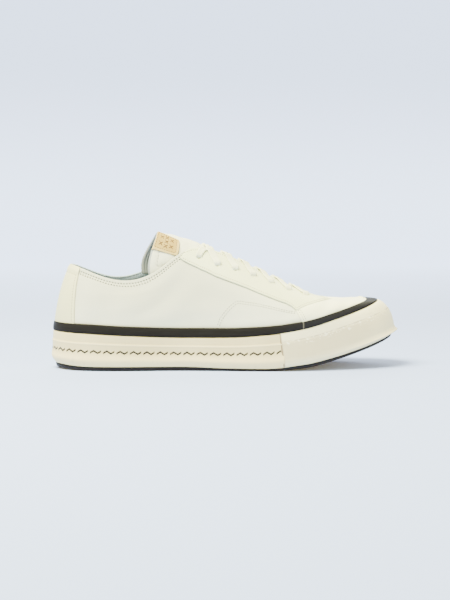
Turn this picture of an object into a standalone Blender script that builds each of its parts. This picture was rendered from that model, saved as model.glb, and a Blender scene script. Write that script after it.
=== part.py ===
"""Low-cut sneaker for the right foot, built from its last's plan, sole heights and topline.

Metres, +Z up. The toe points to +X and the foot's outer side to -Y. The origin is the middle of
the footprint, on the floor. Every place round the shoe is named by one number, its loop place:
0 at the back of the heel, 0.5 outer side, 1 at the tip of the toe, 1.5 inner side, 2 heel again.
"""
import math
from collections import namedtuple

import bmesh
import bpy
import numpy as np
from mathutils import Euler, Matrix, Vector

# Driving dimensions
LENGTH = 0.3000
BALL_WIDTH = 0.1080
HEEL_HEIGHT = 0.0900
INSTEP_HEIGHT = 0.1032
GAP = 0.0003

# Sole
COLUMNS = 64
TOE_LIP = 0.0024
TOE_START = 0.700
SIDE_RAKE = 0.0006
TOE_RAKE = 0.0150
TOE_CURL = 0.985
FOOT_TUCK = 0.0026
TUCK_SHARE = 0.26
RIM_WIDTH = 0.0040
STRIPE_PROUD = 0.0004
SIDE_LEAN = 0.0006
TOE_LEAN = 0.0090
STRIPE_EDGE = 0.0012
STRIPE_BEND = 0.62
STRIPE_BEND_LEAN = 0.35
BUMPER_START = 20
BUMPER_THICK = 0.0016
BUMPER_PROUD = 0.0006
TREAD_INSET = 0.0012
TREAD_TURN = 0.4
GROOVE_WIDTH = 0.0026
GROOVE_DEPTH = 0.0015
GROOVE_MARGIN = 0.0110
GROOVE_ROWS = ((0.075, 4, 0.040), (0.500, 9, 0.042))
INSOLE_THICK = 0.0035
SIDEWALL_SHARES = (0.0, 0.10, 0.20, 0.32, 0.50, 0.68, 0.84, 0.94, 1.0)
EVEN_COLUMNS = np.arange(COLUMNS) * 2 / COLUMNS

# Upper
WALL = 0.0020
UPPER_SHARES = (0.0, 0.10, 0.22, 0.36, 0.50, 0.64, 0.77, 0.89, 1.0)
THROAT_SHIFT = 0.0040
INNER_RISE = 0.0030
INNER_RISE_LOOP = 1.69
INNER_RISE_WIDTH = 0.075
OVERLAY_THICK = 0.0010
FACING_START = 13
STAY_HALF_FOOT = 0.109
STAY_HALF_TOP = 0.096
EYELETS = 7
EYELET_FIRST = 0.0655
EYELET_PITCH = 0.0152
EYELET_INSETS = (0.0172, 0.0164, 0.0146, 0.0148, 0.0156, 0.0158, 0.0096)
EYELET_RADIUS = 0.0020

# Tongue and lace
TONGUE_THICK = 0.0032
LABEL_THICK = 0.0010
LACE_WIDTH = 0.0060
LACE_THICK = 0.0013
LACE_PARTS = (0.0, 0.2, 0.36, 0.5, 0.64, 0.8, 1.0)
LACE_EDGE = 0.72
LACE_SLOPE = 0.40
LACE_STATIONS = 8
LACE_RISE = 0.0022
LACE_CLEAR = OVERLAY_THICK + LACE_THICK / 2 + 9 * GAP

# Widest outline of the sole, seen from above, from the heel round by the outer side.
PlanRow = namedtuple("PlanRow", "place along across")
PLAN = (
    PlanRow("heel_back", 0.000, 0.000),
    PlanRow("heel_corner_outer", 0.045, -0.268),
    PlanRow("heel_side_outer", 0.150, -0.376),
    PlanRow("waist_outer", 0.355, -0.388),
    PlanRow("ball_outer", 0.630, -0.500),
    PlanRow("toe_side_outer", 0.850, -0.402),
    PlanRow("toe_corner_outer", 0.958, -0.230),
    PlanRow("toe_tip", 1.000, 0.045),
    PlanRow("toe_corner_inner", 0.955, 0.310),
    PlanRow("toe_side_inner", 0.865, 0.432),
    PlanRow("ball_inner", 0.700, 0.498),
    PlanRow("waist_inner", 0.430, 0.345),
    PlanRow("heel_side_inner", 0.170, 0.372),
    PlanRow("heel_corner_inner", 0.045, 0.268),
)

# Heights of the sole's layers above the floor, along the shoe.
SoleRow = namedtuple("SoleRow", "place along tread welt floor sidewall stripe")
SOLE = (
    SoleRow("heel_end", 0.000, 0.0018, 0.0054, 0.0170, 0.0328, 0.0404),
    SoleRow("heel_round", 0.100, 0.0002, 0.0037, 0.0165, 0.0316, 0.0395),
    SoleRow("heel_breast", 0.210, 0.0000, 0.0035, 0.0160, 0.0298, 0.0376),
    SoleRow("arch", 0.370, 0.0002, 0.0034, 0.0135, 0.0282, 0.0362),
    SoleRow("ball_back", 0.480, 0.0000, 0.0027, 0.0105, 0.0284, 0.0363),
    SoleRow("ball", 0.590, 0.0000, 0.0024, 0.0084, 0.0304, 0.0377),
    SoleRow("toe_break", 0.700, 0.0020, 0.0052, 0.0110, 0.0351, 0.0417),
    SoleRow("toe_joint", 0.800, 0.0086, 0.0118, 0.0170, 0.0434, 0.0493),
    SoleRow("toe_box", 0.880, 0.0157, 0.0184, 0.0234, 0.0509, 0.0560),
    SoleRow("toe_end", 0.960, 0.0236, 0.0262, 0.0310, 0.0592, 0.0620),
    SoleRow("toe_tip", 1.000, 0.0274, 0.0298, 0.0348, 0.0627, 0.0650),
)

# Edge of the collar and throat, the same on both sides: where its line up the upper starts on the
# loop, how steeply that line rolls over at the top, and how far up it the facing's edge lies.
EdgeRow = namedtuple("EdgeRow", "place loop along half_width height roll facing")
TOPLINE = (
    EdgeRow("heel_top", 0.000, 0.053, 0.000, 0.980 * HEEL_HEIGHT, 50, 0.90),
    EdgeRow("heel_round", 0.070, 0.067, 0.140, 0.970 * HEEL_HEIGHT, 48, 0.90),
    EdgeRow("heel_side", 0.140, 0.108, 0.222, 0.918 * HEEL_HEIGHT, 44, 0.90),
    EdgeRow("ankle", 0.255, 0.212, 0.268, 0.838 * HEEL_HEIGHT, 40, 0.90),
    EdgeRow("collar_rise", 0.335, 0.300, 0.256, 0.820 * INSTEP_HEIGHT, 44, 0.96),
    EdgeRow("collar_front", 0.385, 0.358, 0.212, 0.944 * INSTEP_HEIGHT, 48, 0.92),
    EdgeRow("facing_top", 0.420, 0.398, 0.168, 0.986 * INSTEP_HEIGHT, 50, 0.74),
    EdgeRow("second_hole", 0.470, 0.460, 0.140, 0.962 * INSTEP_HEIGHT, 52, 0.612),
    EdgeRow("waist_hole", 0.540, 0.540, 0.126, 0.867 * INSTEP_HEIGHT, 57, 0.550),
    EdgeRow("middle_hole", 0.630, 0.640, 0.118, 0.719 * INSTEP_HEIGHT, 66, 0.425),
    EdgeRow("first_hole", 0.730, 0.727, 0.104, 0.610 * INSTEP_HEIGHT, 74, 0.50),
    EdgeRow("throat_corner", 0.870, 0.763, 0.062, 0.550 * INSTEP_HEIGHT, 80, 0.83),
    EdgeRow("throat_front", 1.000, 0.772, 0.000, 0.536 * INSTEP_HEIGHT, 84, 0.87),
)

# Cross-sections of the tongue from its sewn front end to its free top edge.
TongueRow = namedtuple("TongueRow", "place along ridge half_width edge wrap outer_sweep inner_sweep")
TONGUE = (
    TongueRow("sewn_end", 0.800, 0.0484, 0.0130, 0.0474, 40, 0.000, 0.000),
    TongueRow("first_hole", 0.727, 0.0587, 0.0175, 0.0556, 44, 0.000, 0.000),
    TongueRow("middle_hole", 0.640, 0.0724, 0.0200, 0.0653, 48, 0.000, 0.000),
    TongueRow("waist_hole", 0.540, 0.0860, 0.0215, 0.0763, 52, 0.000, 0.000),
    TongueRow("second_hole", 0.462, 0.0968, 0.0220, 0.0826, 60, 0.000, 0.000),
    TongueRow("bulge", 0.436, 0.1020, 0.0222, 0.0838, 70, 0.000, 0.000),
    TongueRow("facing_top", 0.412, 0.1070, 0.0222, 0.0840, 80, 0.000, 0.000),
    TongueRow("bend", 0.385, 0.1098, 0.0220, 0.0825, 84, 0.001, 0.002),
    TongueRow("collar", 0.345, 0.1133, 0.0225, 0.0810, 88, 0.004, 0.008),
    TongueRow("top_edge", 0.305, 0.1163, 0.0232, 0.0800, 88, 0.007, 0.014),
)
LABEL_FROM = 0.362
LABEL_TO = 0.307
LABEL_BACK = (-0.58, -0.12)
LABEL_FRONT = (-0.68, -0.31)


# ---------------------------------------------------------------- curves through the tables

def hermite(knots, values, slopes, at):
    """Cubic through values with the given slopes, read at the places in at."""
    cell = np.clip(np.searchsorted(knots, at, side="right") - 1, 0, len(knots) - 2)
    width = knots[cell + 1] - knots[cell]
    share = (at - knots[cell]) / width
    if values.ndim > 1:
        share = share[:, None]
        width = width[:, None]
    square = share * share
    cube = square * share
    return (values[cell] * (2 * cube - 3 * square + 1) + values[cell + 1] * (3 * square - 2 * cube)
            + slopes[cell] * width * (cube - 2 * square + share)
            + slopes[cell + 1] * width * (cube - square))


def loop_slopes(knots, values):
    """Slopes of the smoothest closed cubic; the last row repeats the first."""
    count = len(knots) - 1
    width = np.diff(knots)
    rise = np.diff(values, axis=0)
    matrix = np.zeros((count, count))
    right = np.zeros((count, values.shape[1]))
    for row in range(count):
        before = row - 1
        matrix[row, before] += 1 / width[before]
        matrix[row, row] += 2 / width[before] + 2 / width[row]
        matrix[row, (row + 1) % count] += 1 / width[row]
        right[row] = 3 * (rise[before] / width[before] ** 2 + rise[row] / width[row] ** 2)
    slopes = np.linalg.solve(matrix, right)
    return np.vstack([slopes, slopes[:1]])


def steady_slopes(knots, values):
    """Slopes of an open cubic that never overshoots its rows."""
    secant = np.diff(values) / np.diff(knots)
    slopes = np.zeros(len(knots))
    for row in range(1, len(knots) - 1):
        if secant[row - 1] * secant[row] > 0:
            slopes[row] = 2 / (1 / secant[row - 1] + 1 / secant[row])
    slopes[0] = secant[0]
    slopes[-1] = secant[-1]
    return slopes


def column_of(table, field):
    return np.array([getattr(row, field) for row in table], dtype=float)


def along_to_x(along):
    return (along - 0.5) * LENGTH


def sole_height(field, x):
    """Height of one layer of the sole at x."""
    knots = along_to_x(column_of(SOLE, "along"))
    values = column_of(SOLE, field)
    x = np.clip(np.atleast_1d(x), knots[0], knots[-1])
    return hermite(knots, values, steady_slopes(knots, values), x)


def dense_outline():
    """The widest outline as a fine closed polyline, with its loop places and outward normals."""
    corners = np.column_stack([column_of(PLAN, "along"), column_of(PLAN, "across")])
    corners = np.vstack([corners, corners[:1]]) * (LENGTH, BALL_WIDTH)
    knots = np.concatenate([[0], np.cumsum(np.linalg.norm(np.diff(corners, axis=0), axis=1))])
    fine = np.linspace(0, knots[-1], 1441)
    line = hermite(knots, corners, loop_slopes(knots, corners), fine)
    low = line.min(axis=0)
    size = line.max(axis=0) - low
    line = (line - low) / size * (LENGTH - TOE_LIP, BALL_WIDTH)
    line -= (LENGTH / 2, BALL_WIDTH / 2)
    run = np.concatenate([[0], np.cumsum(np.linalg.norm(np.diff(line, axis=0), axis=1))])
    tip = int(np.argmax(line[:, 0]))
    inner = 1 + (run - run[tip]) / (run[-1] - run[tip])
    place = np.where(np.arange(len(line)) <= tip, run / run[tip], inner)
    ahead = np.gradient(line, axis=0)
    ahead[0] = ahead[-1] = line[1] - line[-2]
    ahead /= np.linalg.norm(ahead, axis=1)[:, None]
    outward = np.column_stack([ahead[:, 1], -ahead[:, 0]])
    if outward[tip, 0] < 0:
        outward = -outward
    return place, line, outward


PLACE, LINE, OUTWARD = dense_outline()
GIRTH = float(np.sum(np.linalg.norm(np.diff(LINE, axis=0), axis=1)))
BUMPER_SEAM = BUMPER_START * 2 / COLUMNS
SEAM_STEP = GAP / (GIRTH / 2)


def ring(loop):
    """Point and outward normal of the widest outline at the loop places given."""
    loop = np.mod(loop, 2)
    point = np.column_stack([np.interp(loop, PLACE, LINE[:, axis]) for axis in (0, 1)])
    out = np.column_stack([np.interp(loop, PLACE, OUTWARD[:, axis]) for axis in (0, 1)])
    return point, out / np.linalg.norm(out, axis=1)[:, None]


def toe_share(x):
    """0 behind the toe, rising to 1 at its tip."""
    start = along_to_x(TOE_START)
    return np.clip((x - start) / (LENGTH / 2 - TOE_LIP - start), 0, 1) ** 2


def lift(flat, height):
    return np.column_stack([flat, height])


# ---------------------------------------------------------------- the sole's surfaces

def rim(loop, inward):
    """Plan points set in from the sidewall's top edge."""
    point, out = ring(loop)
    rake = SIDE_RAKE + (TOE_RAKE - SIDE_RAKE) * toe_share(point[:, 0])
    return point - out * (rake + inward)[:, None]


def sidewall(loop, share, offset=0.0):
    """The sidewall's outside at a share of the way from the welt to its top edge."""
    point, out = ring(loop)
    toe = toe_share(point[:, 0])
    rake = SIDE_RAKE + (TOE_RAKE - SIDE_RAKE) * toe
    low = sole_height("welt", point[:, 0])
    high = sole_height("sidewall", (point - out * rake[:, None])[:, 0])
    curl = TOE_CURL * share
    full = 1 - math.sqrt(1 - TOE_CURL ** 2)
    set_in = rake * (1 - math.sqrt(1 - curl ** 2)) / full
    slope = rake * TOE_CURL * curl / (math.sqrt(1 - curl ** 2) * full * (high - low))
    if share < TUCK_SHARE:
        set_in = set_in + FOOT_TUCK * (1 - share / TUCK_SHARE) ** 2
    lip = TOE_LIP * toe * max(0.0, 1 - ((share - 0.17) / 0.17) ** 2)
    steep = 1 / np.sqrt(1 + slope ** 2)
    set_in = set_in - lip - offset * steep
    height = low + (high - low) * share + offset * slope * steep
    return lift(point - out * set_in[:, None], height)


def bumper_proud(share):
    return BUMPER_PROUD * (1 - share ** 4)


# ---------------------------------------------------------------- the upper's surface

def topline(loop):
    """Topline rows read at the loop places: x, y, height, roll in radians, facing's edge."""
    rows = []
    for side, table in ((-1, TOPLINE), (1, TOPLINE[-2:0:-1])):
        for row in table:
            loop_place = row.loop if side < 0 else 2 - row.loop
            across = side * row.half_width * BALL_WIDTH
            rows.append((loop_place, along_to_x(row.along), across, row.height,
                         math.radians(row.roll), row.facing))
    rows = np.array(rows + [(2.0,) + rows[0][1:]])
    values = rows[:, 1:]
    values[:, 1] += THROAT_SHIFT * np.clip(rows[:, 1] / (LENGTH / 2), 0, 1)
    loop = np.mod(loop, 2)
    read = hermite(rows[:, 0], values, loop_slopes(rows[:, 0], values), loop)
    read[:, 2] += INNER_RISE * np.exp(-((loop - INNER_RISE_LOOP) / INNER_RISE_WIDTH) ** 2)
    return read


def stripe_drop(toe):
    return STRIPE_EDGE * toe


def upper_foot(loop):
    """Where the upper leaves the stripe's top edge."""
    point, _ = ring(loop)
    toe = toe_share(point[:, 0])
    lean = SIDE_LEAN + (TOE_LEAN - SIDE_LEAN) * toe
    flat = rim(loop, lean + STRIPE_EDGE + GAP)
    edge = rim(loop, lean)
    return lift(flat, sole_height("stripe", edge[:, 0]) - stripe_drop(toe) - GAP * toe)


def upper(loop, share):
    """The upper's outside, from the stripe (share 0) to the topline (share 1)."""
    foot = upper_foot(loop)
    edge = topline(loop)
    roll = edge[:, 3]
    angle = roll * share
    across = (1 - np.cos(angle)) / (1 - np.cos(roll))
    up = np.sin(angle) / np.sin(roll)
    flat = foot[:, :2] + (edge[:, :2] - foot[:, :2]) * across[:, None]
    return lift(flat, foot[:, 2] + (edge[:, 2] - foot[:, 2]) * up)


def upper_normal(loop, share):
    step = 0.004
    around = upper(loop + step, share) - upper(loop - step, share)
    rising = upper(loop, np.minimum(share + step, 1)) - upper(loop, np.minimum(share + step, 1) - 2 * step)
    out = np.cross(around, rising)
    return out / np.linalg.norm(out, axis=1)[:, None]


def upper_offset(loop, share, offset):
    return upper(loop, share) + upper_normal(loop, share) * offset


def eyelet_place(number, side):
    """Loop place and share of one lace hole, found from its x and its distance to the edge."""
    x = EYELET_FIRST - EYELET_PITCH * number
    inset = EYELET_INSETS[number]
    loop = np.linspace(0.42, 0.90, 481)
    share = np.full(len(loop), 0.8)
    for _ in range(6):
        away = np.linalg.norm(upper(loop, share) - upper(loop, np.ones(len(loop))), axis=1)
        share = 1 - (1 - share) * inset / away
    best = int(np.argmin(np.abs(upper(loop, share)[:, 0] - x)))
    place = loop[best] if side < 0 else 2 - loop[best]
    return np.array([place]), np.array([share[best]])


# ---------------------------------------------------------------- making objects

def collection_named(name):
    made = bpy.data.collections.new(name)
    bpy.context.scene.collection.children.link(made)
    return made


def material(name, colour, roughness):
    made = bpy.data.materials.new(name)
    made.use_nodes = True
    shader = made.node_tree.nodes["Principled BSDF"]
    shader.inputs["Base Color"].default_value = (*colour, 1)
    shader.inputs["Roughness"].default_value = roughness
    shader.inputs["Metallic"].default_value = 0
    return made


def add_object(name, mesh, where, finish=None):
    made = bpy.data.objects.new(name, mesh)
    where.objects.link(made)
    if finish:
        mesh.materials.append(finish)
    return made


def grid_mesh(name, rows, closed, falling=False):
    """Triangles through rows of points, each a line round the shoe, closed or open.

    Sheets that lie on each other split their cells the same way, so the gap between them is even.
    """
    work = bmesh.new()
    made = [[work.verts.new(point) for point in row] for row in rows]
    count = len(rows[0])
    for low, high in zip(made, made[1:]):
        for here in range(count if closed else count - 1):
            after = (here + 1) % count
            if falling:
                work.faces.new((low[here], low[after], high[here]))
                work.faces.new((low[after], high[after], high[here]))
            else:
                work.faces.new((low[here], low[after], high[after]))
                work.faces.new((low[here], high[after], high[here]))
    mesh = bpy.data.meshes.new(name)
    bmesh.ops.recalc_face_normals(work, faces=work.faces)
    work.to_mesh(mesh)
    work.free()
    return mesh


def face_outward(mesh, centre):
    """Turns an open sheet's faces away from the point inside it."""
    votes = sum(math.copysign(1, (face.center - Vector(centre)).dot(face.normal)) for face in mesh.polygons)
    if votes < 0:
        mesh.flip_normals()


def sheet(name, rows, closed, thickness, centre, finish):
    """A sheet of the given thickness whose outside passes through the rows."""
    mesh = grid_mesh(name, rows, closed)
    face_outward(mesh, centre)
    mesh.shade_smooth()
    made = add_object(name, mesh, SHOE, finish)
    wall = made.modifiers.new("wall", "SOLIDIFY")
    wall.thickness = thickness
    wall.offset = -1
    wall.use_even_offset = True
    return made


def plate(name, rings, finish):
    """A closed solid through rings round the shoe, both ends closed by ribs across it."""
    work = bmesh.new()
    made = [[work.verts.new(point) for point in row] for row in rings]
    count = len(rings[0])
    for low, high in zip(made, made[1:]):
        for here in range(count):
            after = (here + 1) % count
            work.faces.new((low[here], low[after], high[after], high[here]))
    for row in (made[0], made[-1]):
        work.faces.new((row[0], row[1], row[-1]))
        for here in range(1, count // 2 - 1):
            there = count - here
            work.faces.new((row[here], row[here + 1], row[there - 1]))
            work.faces.new((row[here], row[there - 1], row[there]))
        middle = count // 2
        work.faces.new((row[middle - 1], row[middle], row[middle + 1]))
    bmesh.ops.recalc_face_normals(work, faces=work.faces)
    mesh = bpy.data.meshes.new(name)
    work.to_mesh(mesh)
    work.free()
    mesh.shade_smooth()
    return add_object(name, mesh, SHOE, finish)


def cut(target, cutter):
    knife = target.modifiers.new("cut", "BOOLEAN")
    knife.operation = "DIFFERENCE"
    knife.object = cutter


def as_cutter(made):
    made.hide_render = True
    made.display_type = "WIRE"
    return made


def columns():
    """Loop places of the sole's columns, with two close pairs where the bumper's ends meet it."""
    behind = np.array([2 * SEAM_STEP, SEAM_STEP])
    pairs = np.concatenate([BUMPER_SEAM - behind, 2 - BUMPER_SEAM + behind])
    return np.sort(np.concatenate([EVEN_COLUMNS, pairs]))


for old in list(bpy.data.objects):
    bpy.data.objects.remove(old, do_unlink=True)

SHOE = collection_named("sneaker")
CUTTERS = collection_named("sneaker_cutters")

# ---------------------------------------------------------------- outsole

def make_outsole():
    loop = columns()
    foot = sidewall(loop, 0.0)
    inset = sidewall(loop, 0.0, -TREAD_INSET)
    tread = sole_height("tread", inset[:, 0])
    welt = foot[:, 2] - GAP
    middle = tread + (welt - tread) * TREAD_TURN
    rings = [lift(inset[:, :2], tread), lift(foot[:, :2], middle), lift(foot[:, :2], welt)]
    made = plate("outsole", rings, material("outsole_rubber", (0.030, 0.028, 0.030), 0.6))
    cut(made, make_grooves())
    return made


def make_grooves():
    """Cross grooves that stop short of the sole's edge on both sides, joined into one cutter."""
    work = bmesh.new()
    for first, count, pitch in GROOVE_ROWS:
        for number in range(count):
            x = along_to_x(first + pitch * number)
            near_line = LINE[np.abs(LINE[:, 0] - x) < 0.003]
            low = near_line[:, 1].min() + GROOVE_MARGIN
            high = near_line[:, 1].max() - GROOVE_MARGIN
            behind, ahead = sole_height("tread", np.array([x - 0.004, x + 0.004]))
            turn = Euler((0, -math.atan2(ahead - behind, 0.008), 0)).to_matrix().to_4x4()
            turn.translation = (x, (low + high) / 2, (behind + ahead) / 2)
            size = Matrix.Diagonal((GROOVE_WIDTH, high - low, 2 * GROOVE_DEPTH, 1))
            bmesh.ops.create_cube(work, size=1, matrix=turn @ size)
    mesh = bpy.data.meshes.new("grooves")
    work.to_mesh(mesh)
    work.free()
    return as_cutter(add_object("grooves", mesh, CUTTERS))


# ---------------------------------------------------------------- midsole cup

def under_bumper(loop):
    """1 on the columns that the toe bumper covers, else 0."""
    end = BUMPER_SEAM - 1.5 * SEAM_STEP
    return ((loop > end) & (loop < 2 - end)).astype(float)


def make_midsole():
    loop = columns()
    covered = under_bumper(loop)
    rings = []
    for share in SIDEWALL_SHARES:
        recess = (BUMPER_THICK + 2 * GAP - bumper_proud(share)) * covered
        rings.append(sidewall(loop, share, -recess))
    edge = rim(loop, np.full(len(loop), RIM_WIDTH))
    rings.append(lift(edge, rings[-1][:, 2]))
    rings.append(lift(edge, sole_height("floor", edge[:, 0])))
    return plate("midsole", rings, material("sidewall_rubber", (0.76, 0.70, 0.58), 0.55))


# ---------------------------------------------------------------- toe bumper and stripe

def make_bumper():
    loop = EVEN_COLUMNS[BUMPER_START:COLUMNS - BUMPER_START + 1]
    rows = [sidewall(loop, share, bumper_proud(share)) for share in SIDEWALL_SHARES[1:]]
    return sheet("toe_bumper", rows, False, BUMPER_THICK, (0.05, 0, 0.04),
                 material("bumper_rubber", (0.76, 0.71, 0.60), 0.5))


def make_stripe():
    loop = EVEN_COLUMNS
    point, _ = ring(loop)
    toe = toe_share(point[:, 0])
    lean = SIDE_LEAN + (TOE_LEAN - SIDE_LEAN) * toe
    bottom = sidewall(loop, 1.0)[:, 2] + GAP
    edge = rim(loop, lean)
    top = sole_height("stripe", edge[:, 0])
    rows = [
        lift(rim(loop, np.full(len(loop), -STRIPE_PROUD)), bottom),
        lift(rim(loop, lean * STRIPE_BEND_LEAN - STRIPE_PROUD), bottom + (top - bottom) * STRIPE_BEND),
        lift(edge, top),
        lift(rim(loop, lean + STRIPE_EDGE), top - stripe_drop(toe)),
        lift(rim(loop, np.full(len(loop), RIM_WIDTH)), bottom),
    ]
    mesh = grid_mesh("sidewall_stripe", rows + rows[:1], True, falling=True)
    work = bmesh.new()
    work.from_mesh(mesh)
    bmesh.ops.remove_doubles(work, verts=work.verts, dist=0.00001)
    bmesh.ops.recalc_face_normals(work, faces=work.faces)
    work.to_mesh(mesh)
    work.free()
    return add_object("sidewall_stripe", mesh, SHOE, material("stripe_rubber", (0.045, 0.042, 0.038), 0.4))


# ---------------------------------------------------------------- insole

def make_insole():
    loop = EVEN_COLUMNS
    edge = rim(loop, np.full(len(loop), RIM_WIDTH + WALL + 3 * GAP))
    floor = sole_height("floor", edge[:, 0]) + GAP
    rings = [lift(edge, floor), lift(edge, floor + INSOLE_THICK)]
    return plate("insole", rings, material("insole_cloth", (0.40, 0.43, 0.39), 0.9))


# ---------------------------------------------------------------- upper with its overlays

def upper_rows():
    loop = EVEN_COLUMNS
    inside = rim(loop, np.full(len(loop), RIM_WIDTH + GAP))
    rows = [
        lift(inside, sole_height("floor", inside[:, 0]) + GAP),
        lift(inside, sidewall(loop, 1.0)[:, 2]),
    ]
    return rows + [upper(loop, np.full(len(loop), share)) for share in UPPER_SHARES]


def make_upper():
    return sheet("upper", upper_rows(), True, WALL, (0, 0, 0.04),
                 material("upper_canvas", (0.76, 0.76, 0.70), 0.7))


def make_heel_stay():
    rows = []
    for share in np.linspace(0.03, 1.0, 9):
        half = STAY_HALF_FOOT + (STAY_HALF_TOP - STAY_HALF_FOOT) * share
        loop = np.linspace(-half, half, 11)
        rows.append(upper_offset(loop, np.full(len(loop), share), OVERLAY_THICK + 2 * GAP))
    return sheet("heel_stay", rows, False, OVERLAY_THICK, (0, 0, 0.06),
                 material("stay_leather", (0.80, 0.79, 0.66), 0.5))


def make_eyestay():
    loop = EVEN_COLUMNS[FACING_START:COLUMNS - FACING_START + 1]
    low = topline(loop)[:, 4]
    rows = []
    for step in np.linspace(0, 1, 4):
        share = low + (1 - low) * step
        rows.append(upper_offset(loop, share, OVERLAY_THICK + 3 * GAP))
    return sheet("eyestay", rows, False, OVERLAY_THICK, (0, 0, 0.04),
                 material("facing_leather", (0.83, 0.83, 0.72), 0.5))


def make_hole_punches():
    """Round punches across the facings, joined into one cutter."""
    work = bmesh.new()
    for side in (-1, 1):
        for number in range(EYELETS):
            loop, share = eyelet_place(number, side)
            centre = Vector(upper(loop, share)[0])
            axis = Vector(upper_normal(loop, share)[0])
            turn = axis.to_track_quat("Z", "X").to_matrix().to_4x4()
            turn.translation = centre
            bmesh.ops.create_cone(work, cap_ends=True, segments=10, radius1=EYELET_RADIUS,
                                  radius2=EYELET_RADIUS, depth=0.012, matrix=turn)
    mesh = bpy.data.meshes.new("hole_punches")
    work.to_mesh(mesh)
    work.free()
    return as_cutter(add_object("hole_punches", mesh, CUTTERS))


# ---------------------------------------------------------------- tongue and label

def tongue_row(along, shares, offset=0.0):
    """One cross-section of the tongue's outside, at shares of its wrap from -1 to 1."""
    knots = column_of(TONGUE, "along")[::-1]
    read = {}
    for field in TongueRow._fields[2:]:
        values = column_of(TONGUE, field)[::-1]
        read[field] = hermite(knots, values, steady_slopes(knots, values), np.array([along]))[0]
    wrap = math.radians(read["wrap"])
    shares = np.asarray(shares)
    angle = shares * wrap
    sweep = np.where(shares < 0, read["outer_sweep"], read["inner_sweep"])
    x = along_to_x(along) - sweep * np.abs(shares) ** 1.5
    y = (read["half_width"] + offset) * np.sin(angle) / math.sin(wrap)
    fall = (read["ridge"] - read["edge"]) * (1 - np.cos(angle)) / (1 - math.cos(wrap))
    y = y + THROAT_SHIFT * np.clip(x / (LENGTH / 2), 0, 1)
    return np.column_stack([x, y, read["ridge"] + offset - fall])


def make_tongue():
    shares = np.linspace(-1, 1, 11)
    stations = np.linspace(TONGUE[0].along, TONGUE[-1].along, 17)
    rows = [tongue_row(along, shares) for along in stations]
    return sheet("tongue", rows, False, TONGUE_THICK, (-0.02, 0, 0.05),
                 material("tongue_leather", (0.77, 0.77, 0.70), 0.6))


def make_label():
    rows = []
    for step in np.linspace(0, 1, 5):
        back = np.linspace(*LABEL_BACK, 9)
        front = np.linspace(*LABEL_FRONT, 9)
        along = LABEL_FROM + (LABEL_TO - LABEL_FROM) * step
        rows.append(tongue_row(along, front + (back - front) * step, LABEL_THICK + 2 * GAP))
    return sheet("tongue_label", rows, False, LABEL_THICK, (-0.05, 0, 0.08),
                 material("label_leather", (0.80, 0.66, 0.42), 0.55))


# ---------------------------------------------------------------- lace

def lace_path(number, side):
    """Middle line of one lace run: from a hole over its facing, the tongue and the other facing.

    The run that starts on the inner side lies upon the other one where they cross.
    """
    upon = LACE_THICK / 2 if side > 0 else 0
    clear = LACE_CLEAR + upon
    loop_a, share_a = eyelet_place(number, -1)
    loop_b, share_b = eyelet_place(number + 1, -1)
    points = []
    above = []
    for part in LACE_PARTS:
        loop = loop_a + (loop_b - loop_a) * part
        if part == 0.5:
            over = upper(loop, np.ones(1))[0]
            points.append(tongue_row(over[0] / LENGTH + 0.5, [0.0], LACE_RISE + upon)[0])
            above.append((LACE_SLOPE, 0, 1))
            continue
        to_edge = 1 - abs(part - 0.5) / 0.5
        share = np.minimum(share_a + (1 - share_a) * to_edge / LACE_EDGE, 1)
        if part > 0.5:
            share = np.minimum(share_b + (1 - share_b) * to_edge / LACE_EDGE, 1)
            loop = 2 - loop
        points.append(upper_offset(loop, share, clear)[0])
        above.append(upper_normal(loop, share)[0])
    points = np.array(points)
    above = np.array(above)
    if side > 0:
        points[:, 1] = 2 * THROAT_SHIFT * np.clip(points[:, 0] / (LENGTH / 2), 0, 1) - points[:, 1]
        above[:, 1] *= -1
    knots = np.concatenate([[0], np.cumsum(np.linalg.norm(np.diff(points, axis=0), axis=1))])
    places = np.linspace(0, knots[-1], LACE_STATIONS)
    line = hermite(knots, points, np.gradient(points, knots, axis=0), places)
    return line, hermite(knots, above, np.gradient(above, knots, axis=0), places)


def lace_bar(name, centre, facing):
    """A flat bar along its middle line, its flat side turned to the direction facing."""
    ahead = np.gradient(centre, axis=0)
    ahead /= np.linalg.norm(ahead, axis=1)[:, None]
    side = np.cross(ahead, facing)
    side /= np.linalg.norm(side, axis=1)[:, None]
    above = np.cross(side, ahead)
    wide = side * LACE_WIDTH / 2
    thick = above * LACE_THICK / 2
    rings = [centre + wide + thick, centre - wide + thick, centre - wide - thick, centre + wide - thick]
    work = bmesh.new()
    made = [[work.verts.new(point) for point in row] for row in rings]
    for corner in range(4):
        low, high = made[corner], made[(corner + 1) % 4]
        for here in range(len(centre) - 1):
            work.faces.new((low[here], low[here + 1], high[here + 1]))
            work.faces.new((low[here], high[here + 1], high[here]))
    for here in (0, -1):
        work.faces.new([row[here] for row in made])
    bmesh.ops.recalc_face_normals(work, faces=work.faces)
    mesh = bpy.data.meshes.new(name)
    work.to_mesh(mesh)
    work.free()
    return mesh


def make_lace():
    """Six crossings joined where they meet, clear of the facings and the tongue."""
    bars = []
    for number in range(EYELETS - 1):
        for side in (-1, 1):
            bars.append(lace_bar(f"lace_bar_{number}_{side}", *lace_path(number, side)))
    made = add_object("lace", bars[0], SHOE, material("lace_cotton", (0.83, 0.83, 0.73), 0.9))
    rest = collection_named("lace_bars")
    for mesh in bars[1:]:
        as_cutter(add_object(mesh.name, mesh, rest))
    join = made.modifiers.new("join", "BOOLEAN")
    join.operation = "UNION"
    join.operand_type = "COLLECTION"
    join.collection = rest
    join.solver = "EXACT"
    return made


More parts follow.
